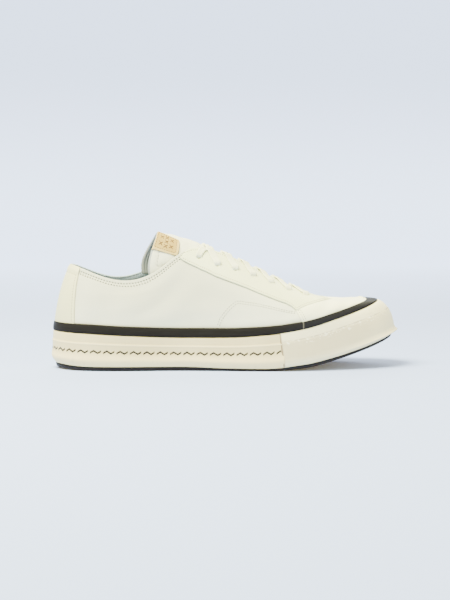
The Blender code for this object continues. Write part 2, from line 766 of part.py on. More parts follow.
make_outsole()
make_midsole()
make_bumper()
make_stripe()
make_insole()
UPPER = make_upper()
make_heel_stay()
EYESTAY = make_eyestay()
PUNCHES = make_hole_punches()
cut(UPPER, PUNCHES)
cut(EYESTAY, PUNCHES)
make_tongue()
make_label()
make_lace()
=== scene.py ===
"""Low-cut sneaker for the right foot: its panels, seams, rubber, laces and finishes.

Metres, +Z up. The toe points to +X and the foot's outer side to -Y. Every place round the shoe is
named by one number, its loop place: 0 at the back of the heel, 0.5 outer side, 1 at the tip of the
toe, 1.5 inner side, 2 heel again. A share runs from 0 at a piece's foot to 1 at its top.
"""

import math
from collections import namedtuple
from functools import partialmethod

import bmesh
import bpy
import numpy as np
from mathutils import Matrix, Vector


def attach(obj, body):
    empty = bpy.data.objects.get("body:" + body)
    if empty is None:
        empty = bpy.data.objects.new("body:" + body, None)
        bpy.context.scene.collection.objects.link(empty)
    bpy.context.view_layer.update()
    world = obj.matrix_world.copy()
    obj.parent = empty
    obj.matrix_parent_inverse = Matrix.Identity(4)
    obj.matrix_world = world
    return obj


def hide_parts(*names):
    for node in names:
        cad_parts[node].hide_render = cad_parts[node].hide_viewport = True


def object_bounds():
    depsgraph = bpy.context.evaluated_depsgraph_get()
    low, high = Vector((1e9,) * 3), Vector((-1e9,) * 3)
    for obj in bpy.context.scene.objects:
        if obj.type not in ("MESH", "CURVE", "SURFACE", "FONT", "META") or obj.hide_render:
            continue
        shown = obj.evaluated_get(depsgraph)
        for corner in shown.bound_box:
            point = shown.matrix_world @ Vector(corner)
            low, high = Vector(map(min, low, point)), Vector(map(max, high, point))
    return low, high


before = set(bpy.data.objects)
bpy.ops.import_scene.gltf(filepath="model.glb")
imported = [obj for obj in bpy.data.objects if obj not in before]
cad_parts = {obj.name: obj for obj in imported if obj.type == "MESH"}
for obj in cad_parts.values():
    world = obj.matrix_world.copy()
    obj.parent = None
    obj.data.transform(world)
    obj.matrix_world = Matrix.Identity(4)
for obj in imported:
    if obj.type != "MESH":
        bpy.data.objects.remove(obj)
cad_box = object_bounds()

# ------------------------------------------------------------------ camera, floor and light
# The shoe stands on a pale paper sweep and is seen from its outer side, a little from behind and
# just above the sole. A large soft box hangs over the heel, with weaker ones in front and behind.

MIDDLE = (-0.0013, 0.0, 0.0571)
CAMERA_TURN = math.radians(-5)
CAMERA_REACH = 1.30
CAMERA_HEIGHT = 0.1372
SENSOR_WIDTH = 36
LENS = 120.08
LIGHT_TARGET = (0, 0, 0.03)
WARM = (1.0, 0.95, 0.62)
DAYLIGHT = 0.95


def table(fields, *rows):
    """Rows whose values have names."""
    row_type = namedtuple("Row", fields)
    return [row_type(*row) for row in rows]


LIGHTS = table(
    "name place size power",
    ("light_over_heel", (-0.62, -0.37, 1.40), (1.0, 0.8), 174),
    ("light_front", (1.15, -1.20, 0.75), (1.2, 1.0), 30),
    ("light_back", (0.20, 1.10, 1.05), (1.4, 0.7), 30))


def aimed(data, place, target):
    """A camera or light that stands at a place and is turned to a target."""
    made = bpy.data.objects.new(data.name, data)
    bpy.context.scene.collection.objects.link(made)
    made.location = place
    made.rotation_euler = (Vector(target) - Vector(place)).to_track_quat("-Z", "Y").to_euler()
    return made


camera = bpy.data.cameras.new("camera")
camera.sensor_fit = "HORIZONTAL"
camera.sensor_width = SENSOR_WIDTH
camera.lens = LENS
camera.clip_start = 0.05
stand = (CAMERA_REACH * math.sin(CAMERA_TURN), -CAMERA_REACH * math.cos(CAMERA_TURN), CAMERA_HEIGHT)
bpy.context.scene.camera = aimed(camera, stand, MIDDLE)

for row in LIGHTS:
    light = bpy.data.lights.new(row.name, "AREA")
    light.shape = "RECTANGLE"
    light.size, light.size_y = row.size
    light.energy = row.power
    light.color = WARM
    aimed(light, row.place, LIGHT_TARGET)

world = bpy.data.worlds.new("studio")
bpy.context.scene.world = world
world.use_nodes = True
world.node_tree.nodes["Background"].inputs["Color"].default_value = (*WARM, 1)
world.node_tree.nodes["Background"].inputs["Strength"].default_value = DAYLIGHT


def feed(tree, slot, value):
    if isinstance(value, Wire):
        tree.links.new(value.socket, slot)
    else:
        slot.default_value = value


class Wire:
    """A value on its way through a material, which adds Math nodes when it is calculated with."""

    def __init__(self, tree, socket):
        self.tree = tree
        self.socket = socket

    def maths(self, operation, *others):
        node = self.tree.nodes.new("ShaderNodeMath")
        node.operation = operation
        for slot, value in zip(node.inputs, (self, *others)):
            feed(self.tree, slot, value)
        return Wire(self.tree, node.outputs[0])

    __add__ = __radd__ = partialmethod(maths, "ADD")
    __mul__ = __rmul__ = partialmethod(maths, "MULTIPLY")
    __sub__ = partialmethod(maths, "SUBTRACT")
    __abs__ = partialmethod(maths, "ABSOLUTE")
    sine = partialmethod(maths, "SINE")


class Finish:
    """One material with a Principled shader; every other node comes from node()."""

    def __init__(self, name, **constants):
        self.material = bpy.data.materials.new(name)
        self.material.use_nodes = True
        self.tree = self.material.node_tree
        self.wears(**constants)

    def wears(self, **sockets):
        for key, value in sockets.items():
            feed(self.tree, self.tree.nodes["Principled BSDF"].inputs[key.replace("_", " ")], value)
        return self.material

    def node(self, kind, settings=(), inputs=(), output=0):
        made = self.tree.nodes.new(kind)
        for key, value in dict(settings).items():
            setattr(made, key, value)
        for key, value in dict(inputs).items():
            feed(self.tree, made.inputs[key], value)
        return Wire(self.tree, made.outputs[output])

    def place(self):
        return self.node("ShaderNodeTexCoord", output="Object")

    def split(self, vector):
        """X, Y and Z of a vector."""
        first = self.node("ShaderNodeSeparateXYZ", (), {0: vector})
        return [Wire(self.tree, output) for output in first.socket.node.outputs]

    def lay(self):
        """Metres along and across the piece, from its own map."""
        return self.split(self.node("ShaderNodeUVMap", {"uv_map": "lay"}))[:2]

    def mark(self, name):
        return self.node("ShaderNodeAttribute", {"attribute_name": name}, (), "Fac")

    def noise(self, scale, detail=2.0, rough=0.5):
        """Noise of one scale, or of one for each axis."""
        where = self.place()
        if isinstance(scale, tuple):
            where = self.node("ShaderNodeVectorMath", {"operation": "MULTIPLY"}, {0: where, 1: scale})
            scale = 1.0
        inputs = {"Vector": where, "Scale": scale, "Detail": detail, "Roughness": rough}
        return self.node("ShaderNodeTexNoise", (), inputs)

    def cells(self, scale):
        return self.node("ShaderNodeTexVoronoi", (), {"Vector": self.place(), "Scale": scale})

    def clamp(self, value, low, high, to_low=0.0, to_high=1.0):
        inputs = {0: value, 1: low, 2: high, 3: to_low, 4: to_high}
        return self.node("ShaderNodeMapRange", {"interpolation_type": "SMOOTHSTEP"}, inputs)

    def mix(self, share, first, second):
        first, second = ((*c, 1) if isinstance(c, tuple) else c for c in (first, second))
        return self.node("ShaderNodeMix", {"data_type": "RGBA"}, {0: share, 6: first, 7: second}, 2)

    def coats(self, colour, *coats):
        """Lays colours over one another, each by an amount. A coat follows one of the piece's marks,
        or a value as far as it has passed from low to high."""
        for *where, amount, over in coats:
            share = self.mark(*where) if len(where) == 1 else self.clamp(*where)
            colour = self.mix(share * amount, colour, over)
        return colour

    def bump(self, height, depth, strength):
        return self.node("ShaderNodeBump", (), {"Height": height, "Distance": depth, "Strength": strength})

    def done(self, colour, relief, cloud=None, thin=0.0, thick=0.0):
        """Ends a material with its colour, its bump's numbers and a roughness that follows a cloud."""
        self.wears(Base_Color=colour, Normal=self.bump(*relief))
        if cloud:
            self.wears(Roughness=self.clamp(cloud, 0.3, 0.7, thin, thick))
        return self.material


def new_object(name, points, faces, finishes):
    mesh = bpy.data.meshes.new(name)
    mesh.from_pydata(np.asarray(points, dtype=np.float32).tolist(), [], faces.tolist())
    mesh.shade_smooth()
    for finish in finishes:
        mesh.materials.append(finish)
    made = bpy.data.objects.new(name, mesh)
    bpy.context.scene.collection.objects.link(made)
    return made


def grid_faces(rows, wide, closed=False, start=0):
    """Corner numbers of the cells of a grid, and each corner's row and column, unwrapped."""
    r, c = np.meshgrid(np.arange(rows - 1), np.arange(wide if closed else wide - 1), indexing="ij")
    corners = ((0, 0), (0, 1), (1, 1), (1, 0))
    where = np.stack([np.stack([r + down, c + on], -1).reshape(-1, 2) for down, on in corners], 1)
    return start + where[..., 0] * wide + where[..., 1] % wide, where


SWEEP_FRONT = -3.0
SWEEP_BACK = 2.4
SWEEP_TURN = 1.2
SWEEP_HIGH = 3.2
SWEEP_HALF = 3.6
PAPER = ((0.340, 0.440, 0.820), (0.346, 0.447, 0.830))
PAPER_FLOOR_GLOW = (0.16, 0.13, 0.06)
PAPER_GLOW = (2.20, 2.60, 3.15)


def make_floor():
    """A sheet of paper that lies flat and curves up behind the shoe, glowing as painted light, more up the
    back wall.
    """
    flat = [(y, 0.0) for y in np.linspace(SWEEP_FRONT, SWEEP_BACK, 12)]
    curve = [(SWEEP_BACK + SWEEP_TURN * math.sin(bend), SWEEP_TURN * (1 - math.cos(bend)))
             for bend in np.linspace(0, math.pi / 2, 25)[1:]]
    profile = flat + curve + [(SWEEP_BACK + SWEEP_TURN, SWEEP_HIGH)]
    across = np.linspace(-SWEEP_HALF, SWEEP_HALF, 9)
    paper = Finish("paper", Roughness=0.9, Specular_IOR_Level=0.1, Emission_Strength=1.0)
    speck = paper.noise(60.0, 4.0)
    _, back, height = paper.split(paper.place())
    # painted light: the paper glows, faintly on the floor and more up the back wall
    glow = paper.clamp(back, 0.4, 2.3) * paper.clamp(height, 0.10, 0.60, 1.0, 0.62)
    paper.wears(Base_Color=paper.mix(speck, *PAPER), Emission_Color=paper.mix(glow, PAPER_FLOOR_GLOW, PAPER_GLOW),
                Normal=paper.bump(speck, 0.0002, 0.2))
    made = new_object("floor", [(x, y, z) for y, z in profile for x in across],
                      grid_faces(len(profile), len(across))[0], [paper.material])


make_floor()


# ------------------------------------------------------------------ rubber cup
# The sole's side is a cup of off-white rubber wrapped by a tape: a flat upper band, a rolled ledge
# and a full lower band, pressed and cured onto the cloth. A row of short dark strokes is printed
# round the tape. The cup shows only outside, because the upper stands in it.

LENGTH = round(cad_box[1][0] - cad_box[0][0], 3)
BUMPER_PROUD = 0.0006
BALL_WIDTH = round(cad_box[1][1] - cad_box[0][1] - 2 * BUMPER_PROUD, 3)
TOE_LIP = 0.0024
LIP_SHARE = 0.105
LIP_REACH = 0.12
TOE_START = 0.700
SIDE_RAKE = 0.0006
TOE_RAKE = 0.0150
TOE_CURL = 0.985
FOOT_TUCK = 0.0026
TUCK_SHARE = 0.22
RIM_WIDTH = 0.0040
HAIRLINE = 0.0003

# Widest outline of the sole, seen from above, from the heel round by the outer side.
PLAN = table(
    "place along across",
    ("heel_back", 0.000, 0.000),
    ("heel_corner_outer", 0.045, -0.268),
    ("heel_side_outer", 0.150, -0.376),
    ("waist_outer", 0.355, -0.388),
    ("ball_outer", 0.630, -0.500),
    ("toe_side_outer", 0.850, -0.402),
    ("toe_corner_outer", 0.958, -0.230),
    ("toe_tip", 1.000, 0.045),
    ("toe_corner_inner", 0.955, 0.310),
    ("toe_side_inner", 0.865, 0.432),
    ("ball_inner", 0.700, 0.498),
    ("waist_inner", 0.430, 0.345),
    ("heel_side_inner", 0.170, 0.372),
    ("heel_corner_inner", 0.045, 0.268))

# Heights of the sole's layers above the floor, along the shoe.
SOLE = table(
    "place along tread welt floor sidewall stripe",
    ("heel_end", 0.000, 0.0018, 0.0054, 0.0170, 0.0328, 0.0404),
    ("heel_round", 0.100, 0.0002, 0.0037, 0.0165, 0.0316, 0.0395),
    ("heel_breast", 0.210, 0.0000, 0.0035, 0.0160, 0.0298, 0.0376),
    ("arch", 0.370, 0.0002, 0.0034, 0.0135, 0.0282, 0.0362),
    ("ball_back", 0.480, 0.0000, 0.0024, 0.0105, 0.0284, 0.0363),
    ("ball", 0.590, 0.0000, 0.0021, 0.0084, 0.0304, 0.0377),
    ("toe_break", 0.700, 0.0020, 0.0052, 0.0110, 0.0351, 0.0417),
    ("toe_joint", 0.800, 0.0086, 0.0114, 0.0170, 0.0434, 0.0493),
    ("toe_box", 0.880, 0.0157, 0.0180, 0.0234, 0.0509, 0.0560),
    ("toe_end", 0.960, 0.0236, 0.0257, 0.0310, 0.0592, 0.0620),
    ("toe_tip", 1.000, 0.0274, 0.0294, 0.0348, 0.0627, 0.0650))


def column_of(rows, field):
    return np.array([getattr(row, field) for row in rows], dtype=float)


def ramp(value, low, high):
    """0 at low and before it, rising to 1 at high; low may be the larger."""
    return np.clip((value - low) / (high - low), 0, 1)


def unit(vectors):
    return vectors / np.maximum(np.linalg.norm(vectors, axis=-1, keepdims=True), 1e-12)


def run_of(points):
    """Metres from the first point to every other, down the first axis."""
    steps = np.linalg.norm(np.diff(points, axis=0), axis=-1)
    return np.concatenate([np.zeros((1, *steps.shape[1:])), np.cumsum(steps, axis=0)])


def read_line(places, knots, values):
    return np.stack([np.interp(places, knots, column) for column in values.T], -1)


def hermite(knots, values, slopes, at):
    """Cubic through values with the given slopes, read at the places in at."""
    cell = np.clip(np.searchsorted(knots, at, side="right") - 1, 0, len(knots) - 2)
    width = knots[cell + 1] - knots[cell]
    share = (at - knots[cell]) / width
    if values.ndim > 1:
        share, width = share[..., None], width[..., None]
    square, cube = share ** 2, share ** 3
    return (values[cell] * (2 * cube - 3 * square + 1) + values[cell + 1] * (3 * square - 2 * cube)
            + width * (slopes[cell] * (cube - 2 * square + share) + slopes[cell + 1] * (cube - square)))


def loop_slopes(knots, values):
    """Slopes of the smoothest closed cubic; the last row repeats the first."""
    width = np.diff(knots)[:, None]
    before = np.roll(width, 1)
    rise = np.diff(values, axis=0)
    own = np.eye(len(width))
    matrix = (2 / before + 2 / width) * own + np.roll(own, -1, 1) / before + np.roll(own, 1, 1) / width
    slopes = np.linalg.solve(matrix, 3 * (np.roll(rise, 1, 0) / before ** 2 + rise / width ** 2))
    return np.vstack([slopes, slopes[:1]])


def steady(knots, values, at):
    """An open cubic that never overshoots its rows, read at the places in at."""
    secant = np.diff(values) / np.diff(knots)
    both = np.maximum(secant[:-1] * secant[1:], 0)
    middle = 2 * both / np.where(both > 0, secant[:-1] + secant[1:], 1)
    return hermite(knots, values, np.concatenate([secant[:1], middle, secant[-1:]]), at)


def along_to_x(along):
    return (along - 0.5) * LENGTH


def sole_height(field, x):
    """Height of one layer of the sole at x."""
    knots = along_to_x(column_of(SOLE, "along"))
    return steady(knots, column_of(SOLE, field), np.clip(x, knots[0], knots[-1]))


def dense_outline():
    """The widest outline as a fine closed polyline, with its loop places and outward normals."""
    corners = np.column_stack([column_of(PLAN, "along"), column_of(PLAN, "across")])
    corners = np.vstack([corners, corners[:1]]) * (LENGTH, BALL_WIDTH)
    knots = run_of(corners)
    line = hermite(knots, corners, loop_slopes(knots, corners), np.linspace(0, knots[-1], 2881))
    low, high = line.min(axis=0), line.max(axis=0)
    line = (line - low) / (high - low) * (LENGTH - TOE_LIP, BALL_WIDTH) - (LENGTH / 2, BALL_WIDTH / 2)
    run = run_of(line)
    tip = int(np.argmax(line[:, 0]))
    inner = 1 + (run - run[tip]) / (run[-1] - run[tip])
    place = np.where(np.arange(len(line)) <= tip, run / run[tip], inner)
    ahead = np.gradient(line, axis=0)
    ahead[0] = ahead[-1] = line[1] - line[-2]
    return place, line, unit(np.column_stack([ahead[:, 1], -ahead[:, 0]]))


PLACE, LINE, OUTWARD = dense_outline()
HALF_GIRTH = run_of(LINE)[-1] / 2


def ring(loop):
    """Point and outward normal of the widest outline at the loop places given."""
    loop = np.mod(loop, 2)
    return read_line(loop, PLACE, LINE), unit(read_line(loop, PLACE, OUTWARD))


def toe_share(loop):
    """0 behind the toe, rising to 1 at its tip."""
    return ramp(ring(loop)[0][..., 0], along_to_x(TOE_START), LENGTH / 2 - TOE_LIP) ** 2


def rake_at(loop):
    return SIDE_RAKE + (TOE_RAKE - SIDE_RAKE) * toe_share(loop)


def lift(flat, height):
    return np.concatenate([flat, np.asarray(height)[..., None]], -1)


def rim(loop, inward):
    """Plan points set in from the sidewall's top edge."""
    point, out = ring(loop)
    return point - out * (rake_at(loop) + inward)[..., None]


def sidewall(loop, share, offset=0.0):
    """The sidewall's outside at a share of the way from the welt to its top edge."""
    point, out = ring(loop)
    rake = rake_at(loop)
    low = sole_height("welt", point[..., 0])
    high = sole_height("sidewall", rim(loop, 0.0)[..., 0])
    curl = TOE_CURL * share
    round_off = np.sqrt(1 - curl ** 2)
    full = 1 - math.sqrt(1 - TOE_CURL ** 2)
    slope = rake * TOE_CURL * curl / (round_off * full * (high - low))
    steep = 1 / np.sqrt(1 + slope ** 2)
    lip = TOE_LIP * toe_share(loop) * ramp(np.abs(share - LIP_SHARE), LIP_REACH, 0) ** 1.3
    tuck = FOOT_TUCK * ramp(share, TUCK_SHARE, 0) ** 2
    set_in = rake * (1 - round_off) / full + tuck - lip - offset * steep
    return lift(point - out * set_in[..., None], low + (high - low) * share + offset * slope * steep)


def normals_of(points, closed=False):
    """Unit normals of a grid of points, for rows that run round the shoe from the heel outwards."""
    around = np.roll(points, -1, 1) - np.roll(points, 1, 1) if closed else np.gradient(points, axis=1)
    return unit(np.cross(around, np.gradient(points, axis=0)))


def add_piece(name, points, faces, finishes, lay=None, marks=(), part=None, slot=None, stands_for=()):
    """A smooth mesh that rides on the shoe. lay is metres along and across, for each corner."""
    made = new_object(name, points, faces, finishes)
    mesh = made.data
    if part is not None:
        mesh.polygons.foreach_set("material_index", np.asarray(part, dtype=np.int32))
    if lay is not None:
        layer = mesh.uv_layers.new(name="lay")
        layer.uv.foreach_set("vector", np.asarray(lay, dtype=np.float32).ravel())
    for key, values in dict(marks).items():
        mark = mesh.attributes.new(key, "FLOAT", "POINT")
        mark.data.foreach_set("value", np.asarray(values, dtype=np.float32))
    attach(made, "root")
    if stands_for:
        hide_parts(*stands_for)
    return made


def lay_of(points, closed, where):
    """Metres along the middle row and across each column, for every corner of a grid's cells."""
    middle = points[len(points) // 2]
    along = run_of(np.vstack([middle, middle[:1]]) if closed else middle)
    across = run_of(points)[where[..., 0], where[..., 1] % points.shape[1]]
    return np.stack([along[where[..., 1]], across], -1).reshape(-1, 2)


def sheets(name, parts, finish, marks=(), **said):
    """One mesh of open sheets, each with its grid of points and whether its rows close."""
    faces, lays, count = [], [], 0
    for grid, closed in parts:
        cells, where = grid_faces(*grid.shape[:2], closed, count)
        faces.append(cells)
        lays.append(lay_of(grid, closed, where))
        count += grid[..., 0].size
    points = np.vstack([grid.reshape(-1, 3) for grid, _ in parts])
    return add_piece(name, points, np.vstack(faces), [finish], np.vstack(lays), marks, **said)


TAPE_COLUMNS = 640
TAPE_ROWS = 44
BUMPER_START = 0.625
BUMPER_SLANT = 0.011
BUMPER_RECESS = 0.0012
LEDGE_SHARE = 0.715
LEDGE_PROUD = 0.0004
LOWER_FULL = 0.0005
WAIST_HOLLOW = 0.0002
TAPE_EDGE = 0.0005
UNDER_SOLE = 0.010
PRINT_SHARE = 0.455
PRINT_START = 0.0030
PRINT_PITCH = 0.0112
PRINT_BEAT = 0.0034
PRINT_SLOPE = 0.58
PRINT_THICK = 0.00062
PRINT_GAP = 0.007
PRINT_INK = (0.010, 0.008, 0.007)


def swell(value, middle, width):
    return np.exp(-((value - middle) / width) ** 2)


def bumper_start(share):
    """Loop place of the bumper's slanted end on the outer side."""
    return BUMPER_START - BUMPER_SLANT * share


def tape_relief(loop, share):
    """How far the tape's outside stands off the plain sidewall, bottom to top."""
    below = 1 / (1 + np.exp((share - LEDGE_SHARE) / 0.006))
    lump = LOWER_FULL * swell(share, 0.23, 0.14) - WAIST_HOLLOW * swell(share, 0.50, 0.12)
    roll = 0.00025 * swell(share, LEDGE_SHARE - 0.02, 0.02)
    covered = np.abs(loop - 1) < 1 - bumper_start(share) - 0.004
    wave = 0.00010 * np.sin(loop * 61 + share * 5) + 0.00008 * np.sin(loop * 143 + 1.7)
    edge = TAPE_EDGE * ramp(share, 0.955, 1) ** 2
    return np.where(covered, -BUMPER_RECESS, lump + below * LEDGE_PROUD + roll + wave * (1 - share) - edge)


def tape_rubber():
    """Off-white rubber, mottled and streaked, with the printed strokes; painted light makes it lighter low
    down and along the ledge.
    """
    wear = Finish("tape_rubber", Specular_IOR_Level=0.35)
    along, across = wear.lay()
    share = wear.mark("share")
    cloud = wear.noise(38.0, 3.0)
    streak = wear.noise((260.0, 260.0, 40.0), 3.0)
    # painted light: lighter on the lower band, and a painted highlight just under the ledge
    base = wear.coats((0.625, 0.525, 0.280),
                      (cloud, 0.35, 0.7, 1.0, (0.665, 0.565, 0.310)),
                      (share, 0.44, 0.22, 0.9, (0.930, 0.765, 0.400)),
                      (abs(share - 0.695), 0.030, 0.005, 0.5, (0.800, 0.710, 0.430)),
                      (streak, 0.55, 0.8, 0.25, (0.58, 0.49, 0.28)))
    # the print: a zigzag stroke 10 mm long in every pitch, up, down and up again, with worn edges
    pitch = (along + PRINT_START).maths("MODULO", PRINT_PITCH)
    zigzag = (pitch - 0.0006).maths("PINGPONG", PRINT_BEAT) - PRINT_BEAT / 2
    worn = wear.noise(900.0)
    thick = PRINT_THICK + 0.00038 * worn
    from_line = abs(across - wear.mark("print_line") - zigzag * PRINT_SLOPE)
    ink = wear.clamp(from_line, thick + 0.00012, thick - 0.00006) * wear.clamp(worn, 0.20, 0.32)
    ink = ink * wear.clamp(abs(pitch - PRINT_PITCH / 2), 0.0050, 0.0046) * wear.mark("printed")
    colour = wear.mix(ink, base, PRINT_INK)
    return wear.done(colour, (wear.noise(420.0) + streak * 0.8, 0.00012, 0.35), cloud, 0.46, 0.58)


def make_tape():
    """The cup's outside, with a hidden edge above the upper's foot and one under the sole."""
    loop = np.arange(TAPE_COLUMNS) * 2 / TAPE_COLUMNS
    loops, shares = np.meshgrid(loop, np.linspace(0, 1, TAPE_ROWS))
    points = sidewall(loops, shares, tape_relief(loops, shares))
    under, out = ring(loop)
    below = lift(under - out * UNDER_SOLE, points[0, :, 2] + 0.0002)
    inner = [lift(rim(loop, inward), points[-1, :, 2]) for inward in (TAPE_EDGE + 0.0001, RIM_WIDTH)]
    points = np.stack([below, *points, *inner])
    shares = np.vstack([shares[:1], shares, shares[-1:], shares[-1:]])
    print_line = run_of(points)[np.argmin(np.abs(shares[:, 0] - PRINT_SHARE))]
    printed = np.abs(loop - 1) > 1 - BUMPER_START + PRINT_GAP
    sheets("sidewall_tape", [(points, True)], tape_rubber(),
           {"share": shares.ravel(), "print_line": np.tile(print_line, len(points)),
            "printed": np.tile(printed, len(points))},
           slot="sidewall_rubber", stands_for=["midsole"])


make_tape()


# ------------------------------------------------------------------ outsole
# A thin dark rubber sole is cured under the cup. Cross grooves and fine ribs cover its underside and
# stop short of the edge, which shows as a dark line below the cup.

TREAD_STATIONS = 620
TREAD_ACROSS = 25
TREAD_INSET = 0.0012
TREAD_TURN = 0.4
WELT_WIDTH = 0.009
GROOVE_WIDTH = 0.0026
GROOVE_DEPTH = 0.0015
GROOVE_MARGIN = 0.0110
RIB_PITCH = 0.0042
RIB_DEPTH = 0.0004
RIB_MARGIN = 0.005
BEVEL = 0.0006
GROOVES = table("first count pitch", (0.075, 4, 0.040), (0.500, 9, 0.042))


def crossings(count):
    """Loop places on the outer and the inner side that lie at the same stations along the shoe."""
    back = int(np.argmin(LINE[:-1, 0]))
    turned = np.roll(np.arange(len(LINE) - 1), -back)
    turned = np.append(turned, turned[0])
    line_x = LINE[turned, 0]
    tip = int(np.argmax(line_x))
    share = np.linspace(0, 1, count)
    share = share - 0.5 * np.sin(2 * math.pi * share) / (2 * math.pi)
    low, high = line_x.min() + 1e-6, line_x.max() - 1e-6
    x = low + (high - low) * share
    place = np.unwrap(PLACE[turned], period=2)
    return (np.interp(x, line_x[:tip + 1], place[:tip + 1]),
            np.interp(x, line_x[tip:][::-1], place[tip:][::-1]))


def tread_depth(x, to_side):
    """How far the underside is cut up at x, where to_side is the distance to the sole's edge."""
    cuts = np.concatenate([along_to_x(row.first + row.pitch * np.arange(row.count)) for row in GROOVES])
    away = np.min(np.abs(x[..., None] - cuts), axis=-1)
    grooves = GROOVE_DEPTH * ramp(away, (GROOVE_WIDTH + BEVEL) / 2, (GROOVE_WIDTH - BEVEL) / 2)
    ribs = RIB_DEPTH * (0.5 + 0.5 * np.sin(2 * math.pi * x / RIB_PITCH)) ** 2
    return np.maximum(grooves * ramp(to_side, GROOVE_MARGIN, GROOVE_MARGIN + BEVEL),
                      ribs * ramp(to_side, RIB_MARGIN, RIB_MARGIN + 0.002))


def dark_rubber():
    wear = Finish("outsole_rubber", Specular_IOR_Level=0.12)
    dust = wear.noise(55.0, 5.0, 0.65)
    grain = wear.noise(700.0, 3.0)
    colour = wear.coats((0.0140, 0.0125, 0.0170), (dust, 0.48, 0.72, 0.6, (0.030, 0.027, 0.030)))
    return wear.done(colour, (grain + dust, 0.00015, 0.5), dust, 0.5, 0.7)


def make_outsole():
    outer, inner = crossings(TREAD_STATIONS)
    loop = np.concatenate([outer, inner[::-1]])
    foot = sidewall(loop, 0 * loop)
    inset = sidewall(loop, 0 * loop, -TREAD_INSET)
    tread = sole_height("tread", inset[:, 0])
    welt = foot[:, 2] - HAIRLINE
    band = []
    for turn in np.radians((0, 25, 50, 75, 90)):
        flat = inset[:, :2] + (foot[:, :2] - inset[:, :2]) * math.sin(turn)
        band.append(lift(flat, tread + (welt - tread) * TREAD_TURN * (1 - math.cos(turn))))
    point, out = ring(loop)
    band += [lift(foot[:, :2], welt), lift(point - out * WELT_WIDTH, welt)]
    edge = lift(inset[:, :2], tread)
    near, far = edge[:TREAD_STATIONS], edge[:TREAD_STATIONS - 1:-1]
    share = np.linspace(0, 1, TREAD_ACROSS)[:, None, None]
    under = far + (near - far) * share
    to_side = np.linalg.norm(near - far, axis=1) * np.minimum(share, 1 - share)[..., 0]
    under[..., 2] = sole_height("tread", under[..., 0]) + tread_depth(under[..., 0], to_side)
    sheets("outsole_tread", [(np.array(band), True), (under, False)], dark_rubber(),
           slot="outsole_rubber", stands_for=["outsole"])


make_outsole()


# ------------------------------------------------------------------ toe bumper
# A thick band of the same rubber is cured over the tape round the toe. It has butt ends at both
# sides, a smooth upper strip, a row of fine ribs below that, and a lip at its foot.

BUMPER_THICK = 0.0016
BUMPER_COLUMNS = 420
BUMPER_ROWS = 64
BUMPER_STEP = 0.745
HATCH_SHARE = 0.705
HATCH_PITCH = 0.0016
BEAD_SHARE = 0.085


def square_to(vectors, axis):
    """Unit vectors with their part along the axis taken out."""
    return unit(vectors - axis * np.sum(vectors * axis, axis=-1, keepdims=True))


def slab(name, points, thick, finishes, closed=False, marks=(), edge=0, **said):
    """A closed sheet of even thickness with rounded edges. A second finish is for its inner side."""
    rows, wide = points.shape[:2]
    total = rows * wide
    number = np.arange(total).reshape(rows, wide)
    normals = normals_of(points, closed)
    up, side = np.gradient(points, axis=0), np.gradient(points, axis=1)
    out = np.zeros_like(points)
    out[0] -= up[0]
    out[-1] += up[-1]
    if closed:
        edges = [number[0], number[-1, ::-1]]
    else:
        out[:, 0] -= side[:, 0]
        out[:, -1] += side[:, -1]
        edges = [np.concatenate([number[0, :-1], number[:-1, -1], number[-1, :0:-1], number[:0:-1, 0]])]
    faces, where = grid_faces(rows, wide, closed)
    lay = lay_of(points, closed, where).reshape(-1, 4, 2)
    edge_lay = lay_of(points, closed, np.stack([number // wide, number % wide], -1))
    points, normals, out = (grid.reshape(-1, 3) for grid in (points, normals, out))
    all_points = [points, points - normals * thick]
    all_faces = [faces, faces[:, ::-1] + total]
    lays = [lay.reshape(-1, 2), lay[:, ::-1].reshape(-1, 2)]
    parts = [np.zeros(len(faces)), np.full(len(faces), len(finishes) - 1)]
    sources = [number.ravel()] * 2
    count = 2 * total
    for ids in edges:
        above = normals[ids] * thick / 2
        away = square_to(out[ids], normals[ids]) * thick / 2
        layers = [ids]
        for turn in np.radians((55, 25, 0, -25, -55)):
            all_points.append(points[ids] - above + away * math.cos(turn) + above * math.sin(turn))
            layers.append(np.arange(len(ids)) + count)
            sources.append(ids)
            count += len(ids)
        layers.append(ids + total)
        after = np.roll(ids, -1)
        for first, second in zip(layers, layers[1:]):
            all_faces.append(np.stack([first, second, np.roll(second, -1), np.roll(first, -1)], 1))
            lays.append(edge_lay[np.stack([ids, ids, after, after], 1)].reshape(-1, 2))
            parts.append(np.full(len(ids), edge))
    marks = {key: value.ravel()[np.concatenate(sources)] for key, value in dict(marks).items()}
    return add_piece(name, np.vstack(all_points), np.vstack(all_faces), finishes, np.vstack(lays),
                     marks, np.concatenate(parts), **said)


def bumper_relief(loop, share):
    body = ramp(share, BUMPER_STEP, BUMPER_STEP - 0.02)
    body = body * body * (3 - 2 * body) * 0.00016
    lip = (0.00030 + 0.0010 * toe_share(loop)) * swell(share, BEAD_SHARE, 0.035)
    hatch = 0.00014 * np.sin(loop * HALF_GIRTH / HATCH_PITCH * 2 * math.pi) * swell(share, HATCH_SHARE, 0.035)
    hand = 0.00016 * np.sin(loop * 37 + 2.2 * share) + 0.00010 * np.sin(loop * 91 + 4 * share + 1)
    return BUMPER_PROUD * (1 - share ** 4) + body + lip + hatch + hand * (1 - share ** 2)


